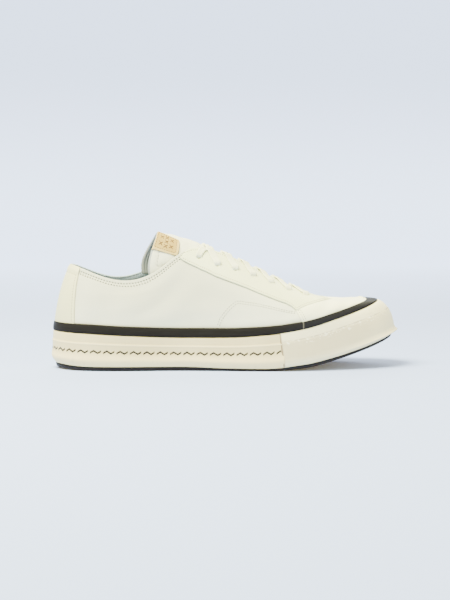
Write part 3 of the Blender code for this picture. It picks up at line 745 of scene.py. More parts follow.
def bumper_rubber():
    wear = Finish("bumper_rubber", Specular_IOR_Level=0.35)
    share = wear.mark("share")
    cloud = wear.noise(30.0, 3.0)
    scuff = wear.noise((45.0, 45.0, 190.0), 4.0, 0.7)
    ahead = wear.split(wear.place())[0]
    from_step = share - BUMPER_STEP
    step = wear.clamp(abs(from_step), 0.022, 0.006) * 0.8
    band = wear.clamp(abs(from_step + 0.06), 0.11, 0.03) * 0.75
    # painted light: lighter towards the tip of the toe and at the foot
    colour = wear.coats((0.640, 0.560, 0.335),
                        (cloud, 0.35, 0.7, 1.0, (0.680, 0.600, 0.365)),
                        (share, 0.66, 0.80, 1.0, (0.860, 0.800, 0.520)),
                        (ahead, 0.105, 0.140, 0.7, (0.860, 0.790, 0.510)),
                        (scuff, 0.56, 0.75, 0.35, (0.58, 0.49, 0.29)),
                        (share, 0.30, 0.10, 0.8, (0.890, 0.800, 0.500)),
                        (wear.noise((110.0, 110.0, 260.0)), 0.34, 0.54, step, (0.36, 0.31, 0.22)),
                        (wear.noise((330.0, 330.0, 620.0), 1.0), 0.57, 0.66, band, (0.98, 0.95, 0.76)),
                        ("end", 0.95, (0.20, 0.13, 0.07)))
    return wear.done(colour, (wear.noise(420.0) + scuff, 0.00014, 0.35), cloud, 0.44, 0.56)


def make_bumper():
    around, shares = np.meshgrid(np.linspace(-1, 1, BUMPER_COLUMNS), np.linspace(0.012, 0.985, BUMPER_ROWS))
    loops = 1 + around * (1 - bumper_start(shares))
    slab("toe_bumper_rubber", sidewall(loops, shares, bumper_relief(loops, shares)), BUMPER_THICK,
         [bumper_rubber()], marks={"share": shares, "end": swell(np.abs(around), 1, 0.0055)},
         slot="bumper_rubber", stands_for=["toe_bumper"])


make_bumper()


# ------------------------------------------------------------------ sidewall stripe
# A satin black strip of rubber is cured above the tape, all round. Its corners are rounded, its top
# turns in to the cloth, and its two ends meet in a butt joint beside the ball of the foot.

STRIPE_COLUMNS = 640
STRIPE_PROUD = 0.0004
SIDE_LEAN = 0.0006
TOE_LEAN = 0.0090
STRIPE_EDGE = 0.0012
STRIPE_CORNER = 0.0008
STRIPE_HIDDEN = 0.0032
JOINT_LOOP = 0.672
STRIPE_LEVELS = (0, 0.015, 0.04, 0.075, 0.12, 0.22, 0.36, 0.50, 0.64, 0.78, 0.88, 0.925, 0.96, 0.985, 1)


def lean_at(loop):
    return SIDE_LEAN + (TOE_LEAN - SIDE_LEAN) * toe_share(loop)


def black_rubber():
    wear = Finish("stripe_rubber", Specular_IOR_Level=0.035)
    rub = wear.noise((60.0, 60.0, 500.0), 4.0, 0.6)
    ahead = wear.split(wear.place())[0]
    # painted reflection: bluish grey on the toe; painted highlight along the butt joint
    colour = wear.coats((0.0095, 0.0088, 0.0090),
                        (rub, 0.45, 0.75, 0.5, (0.0130, 0.0120, 0.0122)),
                        (ahead, 0.030, 0.070, 1.0, (0.0122, 0.0122, 0.0145)),
                        ("joint_highlight", 0.6, (0.22, 0.21, 0.17)))
    return wear.done(colour, (rub + wear.noise(600.0) * 0.5, 0.0001, 0.3), rub, 0.44, 0.58)


def make_stripe():
    close = JOINT_LOOP + np.array([-0.0022, -0.0009, 0, 0.0009, 0.0022])
    loop = np.sort(np.concatenate([np.arange(STRIPE_COLUMNS) * 2 / STRIPE_COLUMNS, close]))
    lean = lean_at(loop)
    bottom = sidewall(loop, np.ones_like(loop))[:, 2] + 0.0001
    top = sole_height("stripe", rim(loop, lean)[:, 0])
    dip = swell(loop, JOINT_LOOP, 0.0008) * 0.0004
    rows = [lift(rim(loop, STRIPE_HIDDEN), bottom)]
    for level in STRIPE_LEVELS:
        near = np.minimum(level, 1 - level) * (top - bottom)
        turn = 1 - np.sqrt(1 - ramp(near, STRIPE_CORNER, 0) ** 2)
        inward = lean * level ** 2.2 - STRIPE_PROUD * (1 - level ** 2) + STRIPE_CORNER * turn + dip
        rows.append(lift(rim(loop, inward), bottom + (top - bottom) * level))
    rows.append(lift(rim(loop, lean + STRIPE_HIDDEN + 0.0005), top - STRIPE_EDGE * 1.6 * toe_share(loop)))
    # a painted highlight follows the butt joint
    sheets("stripe_black_rubber", [(np.array(rows), True)], black_rubber(),
           {"joint_highlight": np.tile(swell(loop, JOINT_LOOP, 0.0010), len(rows))},
           slot="stripe_rubber", stands_for=["sidewall_stripe"])


make_stripe()


# ------------------------------------------------------------------ insole
# A cloth-topped foam insole lies inside the cup, from wall to wall, and cups up a little at its edge.

WALL = 0.0020
INSOLE_GAP = 0.0004
INSOLE_THICK = 0.0035
INSOLE_CUP = 0.0022
INSOLE_STATIONS = 260
INSOLE_WEAVE = 5200.0


def insole_cloth():
    wear = Finish("insole_cloth", Roughness=0.9, Specular_IOR_Level=0.2)
    ahead, across, _ = wear.split(wear.place())
    weave = (ahead * INSOLE_WEAVE).sine() * (across * INSOLE_WEAVE).sine()
    worn = wear.noise(24.0, 3.0)
    colour = wear.coats((0.30, 0.345, 0.30),
                        (worn, 0.35, 0.65, 1.0, (0.36, 0.40, 0.35)),
                        (weave, -0.6, 0.8, 0.3, (0.22, 0.25, 0.22)))
    return wear.done(colour, (weave + worn, 0.0002, 0.5))


def make_insole():
    outer, inner = (rim(loop, RIM_WIDTH + WALL + INSOLE_GAP) for loop in crossings(INSOLE_STATIONS))
    share = np.linspace(0, 1, 21)[:, None]
    flat = outer + (inner - outer) * share[..., None]
    cup = INSOLE_CUP * np.abs(2 * share - 1) ** 8
    points = lift(flat, sole_height("floor", flat[..., 0]) + INSOLE_THICK + HAIRLINE + cup)
    sheets("insole_cloth_top", [(points, False)], insole_cloth(), slot="insole_cloth", stands_for=["insole"])


make_insole()


# ------------------------------------------------------------------ upper
# The quarters are fine off-white cloth glued over a grey-green ribbed lining and lasted into the
# cup. The topline is turned and a little padded, and the cloth hangs in soft folds from the lasting.

UPPER_COLUMNS = 560
UPPER_ROWS = 72
THROAT_SHIFT = 0.0040
HEEL_HEIGHT = 0.0900
INSTEP_HEIGHT = 0.1032
INNER_RISE = 0.0030
INNER_RISE_LOOP = 1.69
INNER_RISE_WIDTH = 0.075
HEEL_STRAIGHT = 0.5
HEEL_STRAIGHT_WIDTH = 0.12
UPPER_SPAN = 0.062
FACING_END = 0.387
COLLAR_END = 0.405

# Edge of the collar and throat, the same on both sides: where its line up the upper starts on the
# loop, where it ends along and across the shoe, and how steeply that line rolls over at the top.
TOPLINE = table(
    "place loop along half_width height roll",
    ("heel_top", 0.000, 0.053, 0.000, 0.980 * HEEL_HEIGHT, 50),
    ("heel_round", 0.070, 0.067, 0.140, 0.970 * HEEL_HEIGHT, 48),
    ("heel_side", 0.140, 0.108, 0.222, 0.918 * HEEL_HEIGHT, 44),
    ("ankle", 0.255, 0.212, 0.268, 0.838 * HEEL_HEIGHT, 40),
    ("collar_rise", 0.335, 0.300, 0.256, 0.820 * INSTEP_HEIGHT, 44),
    ("collar_front", 0.385, 0.358, 0.212, 0.944 * INSTEP_HEIGHT, 48),
    ("facing_top", 0.420, 0.398, 0.168, 0.986 * INSTEP_HEIGHT, 50),
    ("second_hole", 0.470, 0.460, 0.140, 0.962 * INSTEP_HEIGHT, 52),
    ("waist_hole", 0.540, 0.540, 0.126, 0.867 * INSTEP_HEIGHT, 57),
    ("middle_hole", 0.630, 0.640, 0.118, 0.719 * INSTEP_HEIGHT, 66),
    ("first_hole", 0.730, 0.727, 0.104, 0.610 * INSTEP_HEIGHT, 74),
    ("throat_corner", 0.870, 0.763, 0.062, 0.550 * INSTEP_HEIGHT, 80),
    ("throat_front", 1.000, 0.772, 0.000, 0.536 * INSTEP_HEIGHT, 84))

# Lower edge of the facing as loop places and shares up the upper, from its back end to the throat.
FACING_LINE = np.array((
    (0.387, 0.918), (0.393, 0.865), (0.407, 0.785), (0.430, 0.698), (0.463, 0.622), (0.500, 0.583),
    (0.537, 0.552), (0.573, 0.507), (0.604, 0.462), (0.632, 0.415), (0.648, 0.357), (0.658, 0.272),
    (0.673, 0.343), (0.691, 0.408), (0.708, 0.455), (0.726, 0.505), (0.750, 0.580), (0.780, 0.680),
    (0.820, 0.765), (0.870, 0.815), (1.000, 0.840)))

# Rear edges of the two pieces that lie on the quarters: the vamp, and the stay over the back seam.
VAMP_REAR_SHARE = (0.0, 0.07, 0.243, 0.297, 0.36)
VAMP_REAR_LOOP = (0.6705, 0.6668, 0.6590, 0.6560, 0.6490)
STAY_HALF_FOOT = 0.109
STAY_HALF_TOP = 0.096

# Soft folds: where they lie, their turn from the shoe's length in degrees, and their size in metres.
FOLDS = table(
    "loop share turn long wide deep",
    (0.375, 0.62, 38, 0.020, 0.0100, 0.0007), (0.31, 0.34, 24, 0.034, 0.0080, 0.0003),
    (0.44, 0.36, -20, 0.040, 0.0100, 0.0004), (0.56, 0.26, -8, 0.036, 0.0070, 0.0003),
    (0.20, 0.42, 78, 0.026, 0.0085, 0.0003), (0.12, 0.55, 84, 0.024, 0.0060, 0.0003),
    (0.50, 0.12, 4, 0.050, 0.0050, 0.0003), (0.28, 0.80, 8, 0.034, 0.0050, 0.0002),
    (0.66, 0.30, 40, 0.022, 0.0060, 0.0003), (0.75, 0.42, 58, 0.024, 0.0065, 0.0004),
    (0.80, 0.22, 64, 0.020, 0.0050, 0.0003), (0.88, 0.50, 80, 0.026, 0.0060, 0.0004),
    (1.37, 0.40, -12, 0.040, 0.0090, 0.0006), (1.50, 0.28, 14, 0.044, 0.0090, 0.0006),
    (1.62, 0.60, -58, 0.030, 0.0075, 0.0008), (1.74, 0.38, -76, 0.028, 0.0080, 0.0005),
    (1.25, 0.45, -54, 0.026, 0.0070, 0.0005), (1.16, 0.30, -66, 0.022, 0.0055, 0.0004),
    (1.44, 0.14, -3, 0.050, 0.0045, 0.0003), (1.86, 0.50, 88, 0.024, 0.0060, 0.0003))


def throat_shift(x):
    """The throat lies a little to the inner side, towards the toe."""
    return THROAT_SHIFT * ramp(x, 0, LENGTH / 2)


def topline(loop):
    """Topline rows read at the loop places: x, y, height and roll in radians."""
    rows = np.array([row[1:] for row in TOPLINE])
    rows[:, 1] = along_to_x(rows[:, 1])
    rows[:, 2] *= -BALL_WIDTH
    rows[:, 4] = np.radians(rows[:, 4])
    mirror = rows[-2::-1] * (-1, 1, -1, 1, 1) + (2, 0, 0, 0, 0)
    rows = np.vstack([rows, mirror])
    rows[:, 2] += throat_shift(rows[:, 1])
    loop = np.mod(loop, 2)
    read = hermite(rows[:, 0], rows[:, 1:], loop_slopes(rows[:, 0], rows[:, 1:]), loop)
    read[..., 2] += INNER_RISE * swell(loop, INNER_RISE_LOOP, INNER_RISE_WIDTH)
    return read


def upper_foot(loop):
    """Where the upper leaves the stripe's top edge."""
    lean = lean_at(loop)
    inward = STRIPE_EDGE + HAIRLINE
    height = sole_height("stripe", rim(loop, lean)[..., 0]) - inward * toe_share(loop)
    return lift(rim(loop, lean + inward), height)


def upper(loop, share):
    """The upper's outside, from the stripe (share 0) to the topline (share 1)."""
    loop, share = np.broadcast_arrays(np.asarray(loop, dtype=float), np.asarray(share, dtype=float))
    foot = upper_foot(loop)
    edge = topline(loop)
    roll = edge[..., 3]
    across = (1 - np.cos(roll * share)) / (1 - np.cos(roll))
    from_heel = np.minimum(np.mod(loop, 2), 2 - np.mod(loop, 2))
    across = across + HEEL_STRAIGHT * swell(from_heel, 0, HEEL_STRAIGHT_WIDTH) * (share - across)
    up = np.sin(roll * share) / np.sin(roll)
    return foot + (edge[..., :3] - foot) * np.stack([across, across, up], -1)


def upper_normal(loop, share):
    step = 0.004
    top = np.minimum(np.asarray(share) + step, 1)
    return unit(np.cross(upper(loop + step, share) - upper(loop - step, share),
                         upper(loop, top) - upper(loop, top - 2 * step)))


def facing_edge(loop):
    """Share up the upper where the facing's lower edge lies."""
    return np.interp(1 - np.abs(1 - np.mod(loop, 2)), *FACING_LINE.T)


def edge_run(loop):
    """Length of the upper's line at a loop place, from the stripe to the topline."""
    return run_of(np.moveaxis(upper(np.asarray(loop)[..., None], np.linspace(0, 1, 24)), -2, 0))[-1]


def stay_half(share):
    """Loop place of the stay's outer edge."""
    return STAY_HALF_FOOT + (STAY_HALF_TOP - STAY_HALF_FOOT) * share


def folds(loop, share):
    """Relief of the soft folds: each is a trough with a low ridge at both sides."""
    high = 0
    for fold in FOLDS:
        ahead = (loop - fold.loop) * HALF_GIRTH
        up = (share - fold.share) * UPPER_SPAN
        turn = math.radians(fold.turn)
        down_it = ahead * math.cos(turn) + up * math.sin(turn)
        off_it = up * math.cos(turn) - ahead * math.sin(turn)
        bank = sum(swell(off_it, side * fold.wide, fold.wide) for side in (-1.5, 1.5))
        high = high + fold.deep * swell(down_it, 0, fold.long) * (0.5 * bank - swell(off_it, 0, fold.wide))
    wave = np.sin(loop * 23 + 3 * share) * 0.6 + np.sin(loop * 57 - 5 * share + 1.3) * 0.4
    return (high + 0.00014 * wave) * ramp(share, 0, 0.10) * ramp(share, 1, 0.88)


def skin(loop, share, height=0.0):
    """A place on the upper with its folds, or the given height above it."""
    loop, share = np.asarray(loop), np.asarray(share)
    return upper(loop, share) + upper_normal(loop, share) * (folds(loop, share) + height)[..., None]


EYELETS = 7
EYELET_FIRST = 0.0655
EYELET_PITCH = 0.0152
EYELET_INSETS = (0.0172, 0.0164, 0.0146, 0.0148, 0.0156, 0.0158, 0.0096)
EYELET_RADIUS = 0.0021
EYELET_ROOM = 0.0034
# Where the painted shade under the facing's edge ends at the front, and how high it runs up the vamp's rear.
PAINTED_SHADE_FRONT = 0.662
PAINTED_SHADE_TOP = 0.30


def eyelet_place(number, side):
    """Loop place and share of one lace hole, found from its x and its distance to the edge."""
    loop = np.linspace(0.42, 0.90, 481)
    share = np.full(len(loop), 0.8)
    for _ in range(6):
        away = np.linalg.norm(upper(loop, share) - upper(loop, 1.0), axis=1)
        share = 1 - (1 - share) * EYELET_INSETS[number] / away
    best = int(np.argmin(np.abs(upper(loop, share)[:, 0] - EYELET_FIRST + EYELET_PITCH * number)))
    return (loop[best] if side < 0 else 2 - loop[best]), share[best]


HOLES = {(number, side): eyelet_place(number, side) for number in range(EYELETS) for side in (-1, 1)}


def cloth(name):
    """Fine off-white weave; painted light makes it lighter to the toe and low down, painted shade darkens
    seams.
    """
    wear = Finish(name, Specular_IOR_Level=0.25)
    along, across = wear.lay()
    weave = (along * 9000.0).sine() * (across * 9000.0).sine()
    cloud = wear.noise(16.0, 3.0)
    slub = wear.noise((260.0, 260.0, 1800.0))
    ahead, _, height = wear.split(wear.place())
    # painted light: lighter towards the toe and low down; painted shade where the shade mark lies
    colour = wear.coats((0.560, 0.572, 0.450),
                        (ahead + cloud * 0.03, -0.01, 0.08, 1.0, (0.680, 0.705, 0.570)),
                        (cloud, 0.35, 0.65, 0.25, (0.640, 0.640, 0.500)),
                        (height, 0.064, 0.042, 0.55, (0.740, 0.755, 0.610)),
                        (slub, 0.5, 0.8, 0.25, (0.57, 0.59, 0.46)),
                        ("shade", 0.70, (0.26, 0.18, 0.08)))
    return wear.done(colour, (weave * 0.4 + slub, 0.00010, 0.35), cloud, 0.72, 0.84)


def lining_cloth(name, light, dark):
    """Ribbed grey-green cloth."""
    wear = Finish(name, Roughness=0.9, Specular_IOR_Level=0.15)
    rib = (wear.lay()[0] * 4200.0).sine()
    colour = wear.coats(light, (wear.noise(40.0, 3.0), 0.3, 0.7, 1.0, dark),
                        (rib, 0.2, 1.0, 0.35, (0.20, 0.24, 0.23)))
    return wear.done(colour, (rib, 0.0003, 0.6))


def edit_mesh(made, change):
    """Lets a function change an object's mesh as a bmesh."""
    work = bmesh.new()
    work.from_mesh(made.data)
    change(work)
    work.to_mesh(made.data)
    work.free()


def make_upper():
    """The shell, closed all round, with room round the lace holes under the facings."""
    loop = np.arange(UPPER_COLUMNS) * 2 / UPPER_COLUMNS
    loops, shares = np.meshgrid(loop, np.linspace(0, 1, UPPER_ROWS) ** 0.9)
    outer_side = np.minimum(loops, 2 - loops)
    run = edge_run(loop)
    from_top = (1 - shares) * run
    collar = ramp(outer_side, COLLAR_END, COLLAR_END - 0.02)
    pad = 0.0004 * swell(from_top, 0.0012, 0.0012) - 0.00022 * swell(from_top, 0.0041, 0.0022)
    inside = rim(loop, RIM_WIDTH + HAIRLINE)
    low = [lift(inside, sole_height("floor", inside[:, 0]) + HAIRLINE),
           lift(inside, sidewall(loop, np.ones_like(loop))[:, 2])]
    points = np.stack([*low, *skin(loops, shares, pad * collar)])

    # painted shade along the facing's edge, the vamp's rear, the stay's edges and the stripe
    from_facing = np.abs(shares - facing_edge(loops)) * run
    rear = np.interp(shares, VAMP_REAR_SHARE, VAMP_REAR_LOOP)
    painted_shade = np.max([
        swell(from_facing, -0.0002, 0.0008) * (outer_side < PAINTED_SHADE_FRONT) * (outer_side > FACING_END),
        swell((outer_side - rear) * HALF_GIRTH, 0.0004, 0.0008) * (shares < PAINTED_SHADE_TOP),
        0.8 * swell((outer_side - stay_half(shares)) * HALF_GIRTH, -0.0003, 0.0007),
        0.35 * swell(shares * run, 0, 0.0012)], axis=0)
    lining = lining_cloth("collar_lining", (0.400, 0.510, 0.620), (0.450, 0.560, 0.670))
    made = slab("upper_cloth", points, WALL, [cloth("upper_cloth"), lining], True,
                {"shade": np.vstack([0 * painted_shade[:2], painted_shade])}, 1, slot="upper_canvas", stands_for=["upper"])
    holes = np.array([skin(*place) for place in HOLES.values()])

    def clear_holes(work):
        near = [face for face in work.faces
                if np.linalg.norm(holes - face.calc_center_median(), axis=1).min() < EYELET_ROOM]
        bmesh.ops.delete(work, geom=near, context="FACES")

    edit_mesh(made, clear_holes)


make_upper()


# ------------------------------------------------------------------ vamp
# One panel of cream leather covers the toe. It lies on the quarters at both sides, where two rows of
# stitches hold it, and runs under the front of the facing.

VAMP_COLUMNS = 300
VAMP_ROWS = 44
VAMP_CAP_LOOP = (0.650, 0.660, 0.675, 0.694, 0.712, 0.735, 0.765, 0.800, 0.870, 1.000)
VAMP_CAP_SHARE = (0.340, 0.345, 0.430, 0.510, 0.580, 0.655, 0.760, 0.840, 0.880, 0.890)
VAMP_REAR_TOP = 0.34
VAMP_PROUD = 0.0009
VAMP_TUCK = 0.0012
LEATHER_THICK = 0.0011


def leather(name, light, dark, specular=0.32):
    """Smooth leather: a fine grain of small cells, faint clouds and a soft sheen."""
    wear = Finish(name, Specular_IOR_Level=specular)
    cloud = wear.noise(22.0, 4.0)
    grain = wear.noise(620.0, 3.0)
    colour = wear.coats(light, (cloud, 0.35, 0.68, 1.0, dark),
                        (grain, 0.55, 0.75, 0.12, (0.55, 0.50, 0.38)), ("shade", 0.6, (0.30, 0.27, 0.18)))
    return wear.done(colour, (wear.cells(1500.0) + grain, 0.00008, 0.4), cloud, 0.46, 0.58)


def make_vamp():
    round_toe, up = np.meshgrid(np.linspace(-1, 1, VAMP_COLUMNS), np.linspace(0, 1, VAMP_ROWS))
    loops = 1 + round_toe * (1 - np.interp(up * VAMP_REAR_TOP, VAMP_REAR_SHARE, VAMP_REAR_LOOP))
    shares = up * np.interp(np.minimum(loops, 2 - loops), VAMP_CAP_LOOP, VAMP_CAP_SHARE)
    points = skin(loops, shares, VAMP_PROUD)
    points[0, :, 2] -= VAMP_TUCK
    slab("vamp_leather", points, LEATHER_THICK,
         [leather("vamp_leather", (0.830, 0.840, 0.600), (0.850, 0.860, 0.625))],
         marks={"shade": 0.5 * swell(shares, 0, 0.02)}, slot="upper_canvas")


make_vamp()


# ------------------------------------------------------------------ facing
# The facing is one U of cream leather round the throat, laid over the quarters and the vamp. Seven
# plain holes a side are punched through it, and a row of stitches follows its edge.

FACING_COLUMNS = 460
FACING_ROWS = 30
FACING_PROUD = 0.0014
FACING_THICK = 0.0013
FACING_ROW = 0.0018
THROAT_ROW = 0.0022
FACING_BACK_LOOP = (0.387, 0.390, 0.396, 0.404, 0.417)
FACING_BACK_SHARE = (0.924, 0.932, 0.952, 0.986, 1.000)


def punch_holes(made):
    punch = bpy.data.objects.new("punch", bpy.data.meshes.new("punch"))
    bpy.context.scene.collection.objects.link(punch)

    def add_pins(work):
        for place in HOLES.values():
            turn = Vector(upper_normal(*place)).to_track_quat("Z", "X").to_matrix().to_4x4()
            turn.translation = Vector(skin(*place))
            bmesh.ops.create_cone(work, cap_ends=True, segments=32, radius1=EYELET_RADIUS,
                                  radius2=EYELET_RADIUS, depth=0.008, matrix=turn)

    edit_mesh(punch, add_pins)
    knife = made.modifiers.new("holes", "BOOLEAN")
    knife.operation = "DIFFERENCE"
    knife.solver = "EXACT"
    knife.object = punch
    bpy.context.view_layer.update()
    cut = bpy.data.meshes.new_from_object(made.evaluated_get(bpy.context.evaluated_depsgraph_get()))
    made.modifiers.clear()
    made.data = cut
    bpy.data.objects.remove(punch, do_unlink=True)


def make_facing():
    loop = np.linspace(FACING_END, 2 - FACING_END, FACING_COLUMNS)
    low = facing_edge(loop)
    high = np.interp(1 - np.abs(1 - loop), FACING_BACK_LOOP, FACING_BACK_SHARE)
    share = low + (high - low) * np.linspace(0, 1, FACING_ROWS)[:, None]
    run = edge_run(loop)
    from_edge = (share - low) * run
    dip = (0.00022 * swell(from_edge, FACING_ROW, 0.0007)
           + 0.00018 * swell((1 - share) * run, THROAT_ROW, 0.0007))
    made = slab("facing_leather", skin(loop, share, FACING_PROUD - dip), FACING_THICK,
                [leather("facing_leather", (0.705, 0.745, 0.480), (0.730, 0.770, 0.505))],
                marks={"shade": 0.25 * swell(from_edge, 0, 0.0006)}, slot="facing_leather",
                stands_for=["eyestay"])
    punch_holes(made)


make_facing()


# ------------------------------------------------------------------ heel stay
# A strip of cream leather covers the back seam from the topline down into the cup.

STAY_COLUMNS = 120
STAY_ROWS = 60
STAY_PROUD = 0.0010
STAY_TUCK = 0.0010
STAY_ROW = 0.0024
STAY_TOP_ROW = 0.0080


def make_heel_stay():
    round_heel, share = np.meshgrid(np.linspace(-1, 1, STAY_COLUMNS), np.linspace(0, 1, STAY_ROWS))
    half = stay_half(share)
    loops = half * round_heel
    run = edge_run(0.0)
    from_edge = (half - np.abs(loops)) * HALF_GIRTH
    from_top = (1 - share) * run
    dip = 0.0002 * swell(from_edge, STAY_ROW, 0.0007) + 0.0002 * swell(from_top, STAY_TOP_ROW, 0.0010)
    points = skin(loops, share, STAY_PROUD - dip + 0.0005 * swell(from_top, 0.0040, 0.0030))
    points[0, :, 2] -= STAY_TUCK
    slab("heel_stay_leather", points, LEATHER_THICK,
         [leather("stay_leather", (0.610, 0.600, 0.355), (0.645, 0.635, 0.385))],
         marks={"shade": 0.5 * swell(share * run, 0, 0.0012)}, slot="stay_leather", stands_for=["heel_stay"])


make_heel_stay()


# ------------------------------------------------------------------ topline and seams
# A fine piping finishes the topline. Two rows of stitches follow the collar, and single or double
# rows hold the stay, the vamp, the facing and a patch behind the quarter. Every stitch is thread.

PIPING_RADIUS = 0.0008
PIPING_SIDES = 10
STITCH_RINGS = ((-1.0, 0.05), (-0.86, 0.62), (-0.45, 0.98), (0.0, 1.0),
                (0.45, 0.98), (0.86, 0.62), (1.0, 0.05))
STITCH_SIDES = 6
STITCH_SUNK = 0.0001
COLLAR_ROWS = (0.0028, 0.0053)
VAMP_ROW_INSETS = (0.0016, 0.0036)
PATCH_INSETS = (0.0, 0.0019)
PATCH_SPAN = (0.36, 0.06)

# Edge of the reinforcement behind each quarter, as loop places and shares up the upper.
PATCH = np.array(((0.4620, 0.030), (0.4688, 0.110), (0.4813, 0.197), (0.4963, 0.277), (0.5080, 0.328),
                  (0.5380, 0.340), (0.5790, 0.327), (0.6290, 0.273), (0.6560, 0.235)))


def frames_along(points, normals, places):
    """Points, directions ahead and normals, read along a line at metres from its start."""
    read = [read_line(places, run_of(points), values)
            for values in (points, np.gradient(points, axis=0), normals)]
    ahead = unit(read[1])
    return read[0], ahead, square_to(read[2], ahead)


def stitches(name, rows, finish, slot, pitch, radius, fill=0.70):
    """Short rounded stitches along every row, pulled into the piece at both ends."""
    turns = np.arange(STITCH_SIDES) * 2 * math.pi / STITCH_SIDES
    shape = np.array([(along, wide * math.cos(turn), wide * math.sin(turn) - 0.9 * along ** 4)
                      for along, wide in STITCH_RINGS for turn in turns])
    points = []
    for line, normals in rows:
        length = run_of(line)[-1]
        number = max(1, round(length / pitch))
        at, ahead, up = frames_along(line, normals, (np.arange(number) + 0.5) * length / number)
        axes = (ahead * length / number * fill / 2, np.cross(up, ahead) * radius, up * radius)
        points.append((at[:, None] + shape @ np.stack(axes, 1)).reshape(-1, 3))
    points = np.vstack(points)
    cells, _ = grid_faces(len(STITCH_RINGS), STITCH_SIDES, True)
    faces = cells + np.arange(0, len(points), len(shape))[:, None, None]
    add_piece(name, points, faces.reshape(-1, 4), [finish], slot=slot)


def on_skin(loop, share, height):
    return skin(loop, share, height), upper_normal(loop, share)


def below_top(loop, distance, height):
    """A line on the upper that lies a distance below the topline."""
    return on_skin(loop, 1 - distance / edge_run(loop), height)


def thread(name, light, dark):
    wear = Finish(name, Roughness=0.6, Specular_IOR_Level=0.3)
    twist = wear.noise(1800.0)
    return wear.done(wear.coats(light, (twist, 0.4, 0.6, 1.0, dark)), (twist, 0.0001, 0.5))


def make_piping(loop):
    line, normals = below_top(loop, 0.0005, -0.0003)
    at, ahead, up = frames_along(line, normals, run_of(line))
    turns = np.arange(PIPING_SIDES) * 2 * math.pi / PIPING_SIDES
    size = np.full((len(line), 1), PIPING_RADIUS)
    size[[0, -1]] *= 0.05
    rings = [at + (np.cross(up, ahead) * math.cos(turn) + up * math.sin(turn)) * size for turn in turns]
    sheets("collar_piping", [(np.stack(rings, 1), True)], cloth("piping_cloth"), slot="upper_canvas")


def patch_rows():
    """Two rows on each side, one on the patch's edge and one inside it."""
    steps = run_of(PATCH * PATCH_SPAN)
    curve = hermite(steps, PATCH, np.gradient(PATCH, steps, axis=0), np.linspace(0, steps[-1], 90))
    ahead = unit(np.gradient(curve * PATCH_SPAN, axis=0))
    rows = []
    for inset in PATCH_INSETS:
        loop, share = (curve + np.column_stack([ahead[:, 1], -ahead[:, 0]]) * inset / PATCH_SPAN).T
        rows += [on_skin(place, np.clip(share, 0.02, 1), 0.00002) for place in (loop, 2 - loop)]
    return rows


def make_seams():
    collar = np.linspace(-COLLAR_END, COLLAR_END, 420)
    make_piping(collar)
    beside_stay = (collar[collar < -STAY_HALF_TOP - 0.004], collar[collar > STAY_HALF_TOP + 0.004])
    rows = [below_top(loop, distance, 0.0) for distance in COLLAR_ROWS for loop in beside_stay]
    grey = thread("grey_thread", (0.120, 0.126, 0.105), (0.080, 0.084, 0.070))
    stitches("collar_stitches", rows, grey, "upper_canvas", pitch=0.0024, radius=0.00044, fill=0.62)
    pale = thread("patch_thread", (0.26, 0.26, 0.20), (0.18, 0.18, 0.14))
    stitches("patch_stitches", patch_rows(), pale, "upper_canvas", pitch=0.0022, radius=0.00028)

    cream = thread("cream_thread", (0.40, 0.38, 0.25), (0.30, 0.28, 0.18))
    edge = np.linspace(FACING_END + 0.004, 2 - FACING_END - 0.004, 400)
    throat = np.linspace(FACING_END + 0.010, 2 - FACING_END - 0.010, 460)
    inside = np.minimum(facing_edge(edge) + FACING_ROW / edge_run(edge), 0.985)
    rows = [on_skin(edge, inside, FACING_PROUD - STITCH_SUNK),
            below_top(throat, THROAT_ROW, FACING_PROUD - STITCH_SUNK)]
    stitches("facing_stitches", rows, cream, "facing_leather", pitch=0.0020, radius=0.00026)

    share = np.linspace(0.03, 0.28, 30)
    rear = np.interp(share, VAMP_REAR_SHARE, VAMP_REAR_LOOP)
    rows = [on_skin(loop, share, VAMP_PROUD) for inset in VAMP_ROW_INSETS
            for loop in (rear + inset / HALF_GIRTH, 2 - rear - inset / HALF_GIRTH)]
    stitches("vamp_stitches", rows, cream, "upper_canvas", pitch=0.0022, radius=0.00026)

    share = np.linspace(0.03, 0.97, 80)
    half = stay_half(share) - STAY_ROW / HALF_GIRTH
    rows = [on_skin(side * half, share, STAY_PROUD - STITCH_SUNK) for side in (-1, 1)]
    across = np.linspace(-STAY_HALF_TOP + 0.006, STAY_HALF_TOP - 0.006, 60)
    rows.append(below_top(across, STAY_TOP_ROW, STAY_PROUD - STITCH_SUNK))
    stitches("stay_stitches", rows, cream, "stay_leather", pitch=0.0024, radius=0.00026)


make_seams()


# ------------------------------------------------------------------ tongue
# A padded tongue of thin pale leather, lined with the ribbed cloth, is sewn in under the front of
# the throat and stands up past the collar.

TONGUE_THICK = 0.0032
TONGUE_COLUMNS = 96
TONGUE_STATIONS = 150
TONGUE_SEAM = 0.0042
TONGUE_HALF = 0.030
SEAM_FRONT = 0.46
SWEEP_SHARE = (0.0, 0.20, 0.35, 0.48, 0.63, 0.75, 0.86, 0.95, 1.0)
SWEEP_PART = (0.0, 0.08, 0.22, 0.41, 0.68, 0.88, 0.98, 0.97, 0.92)

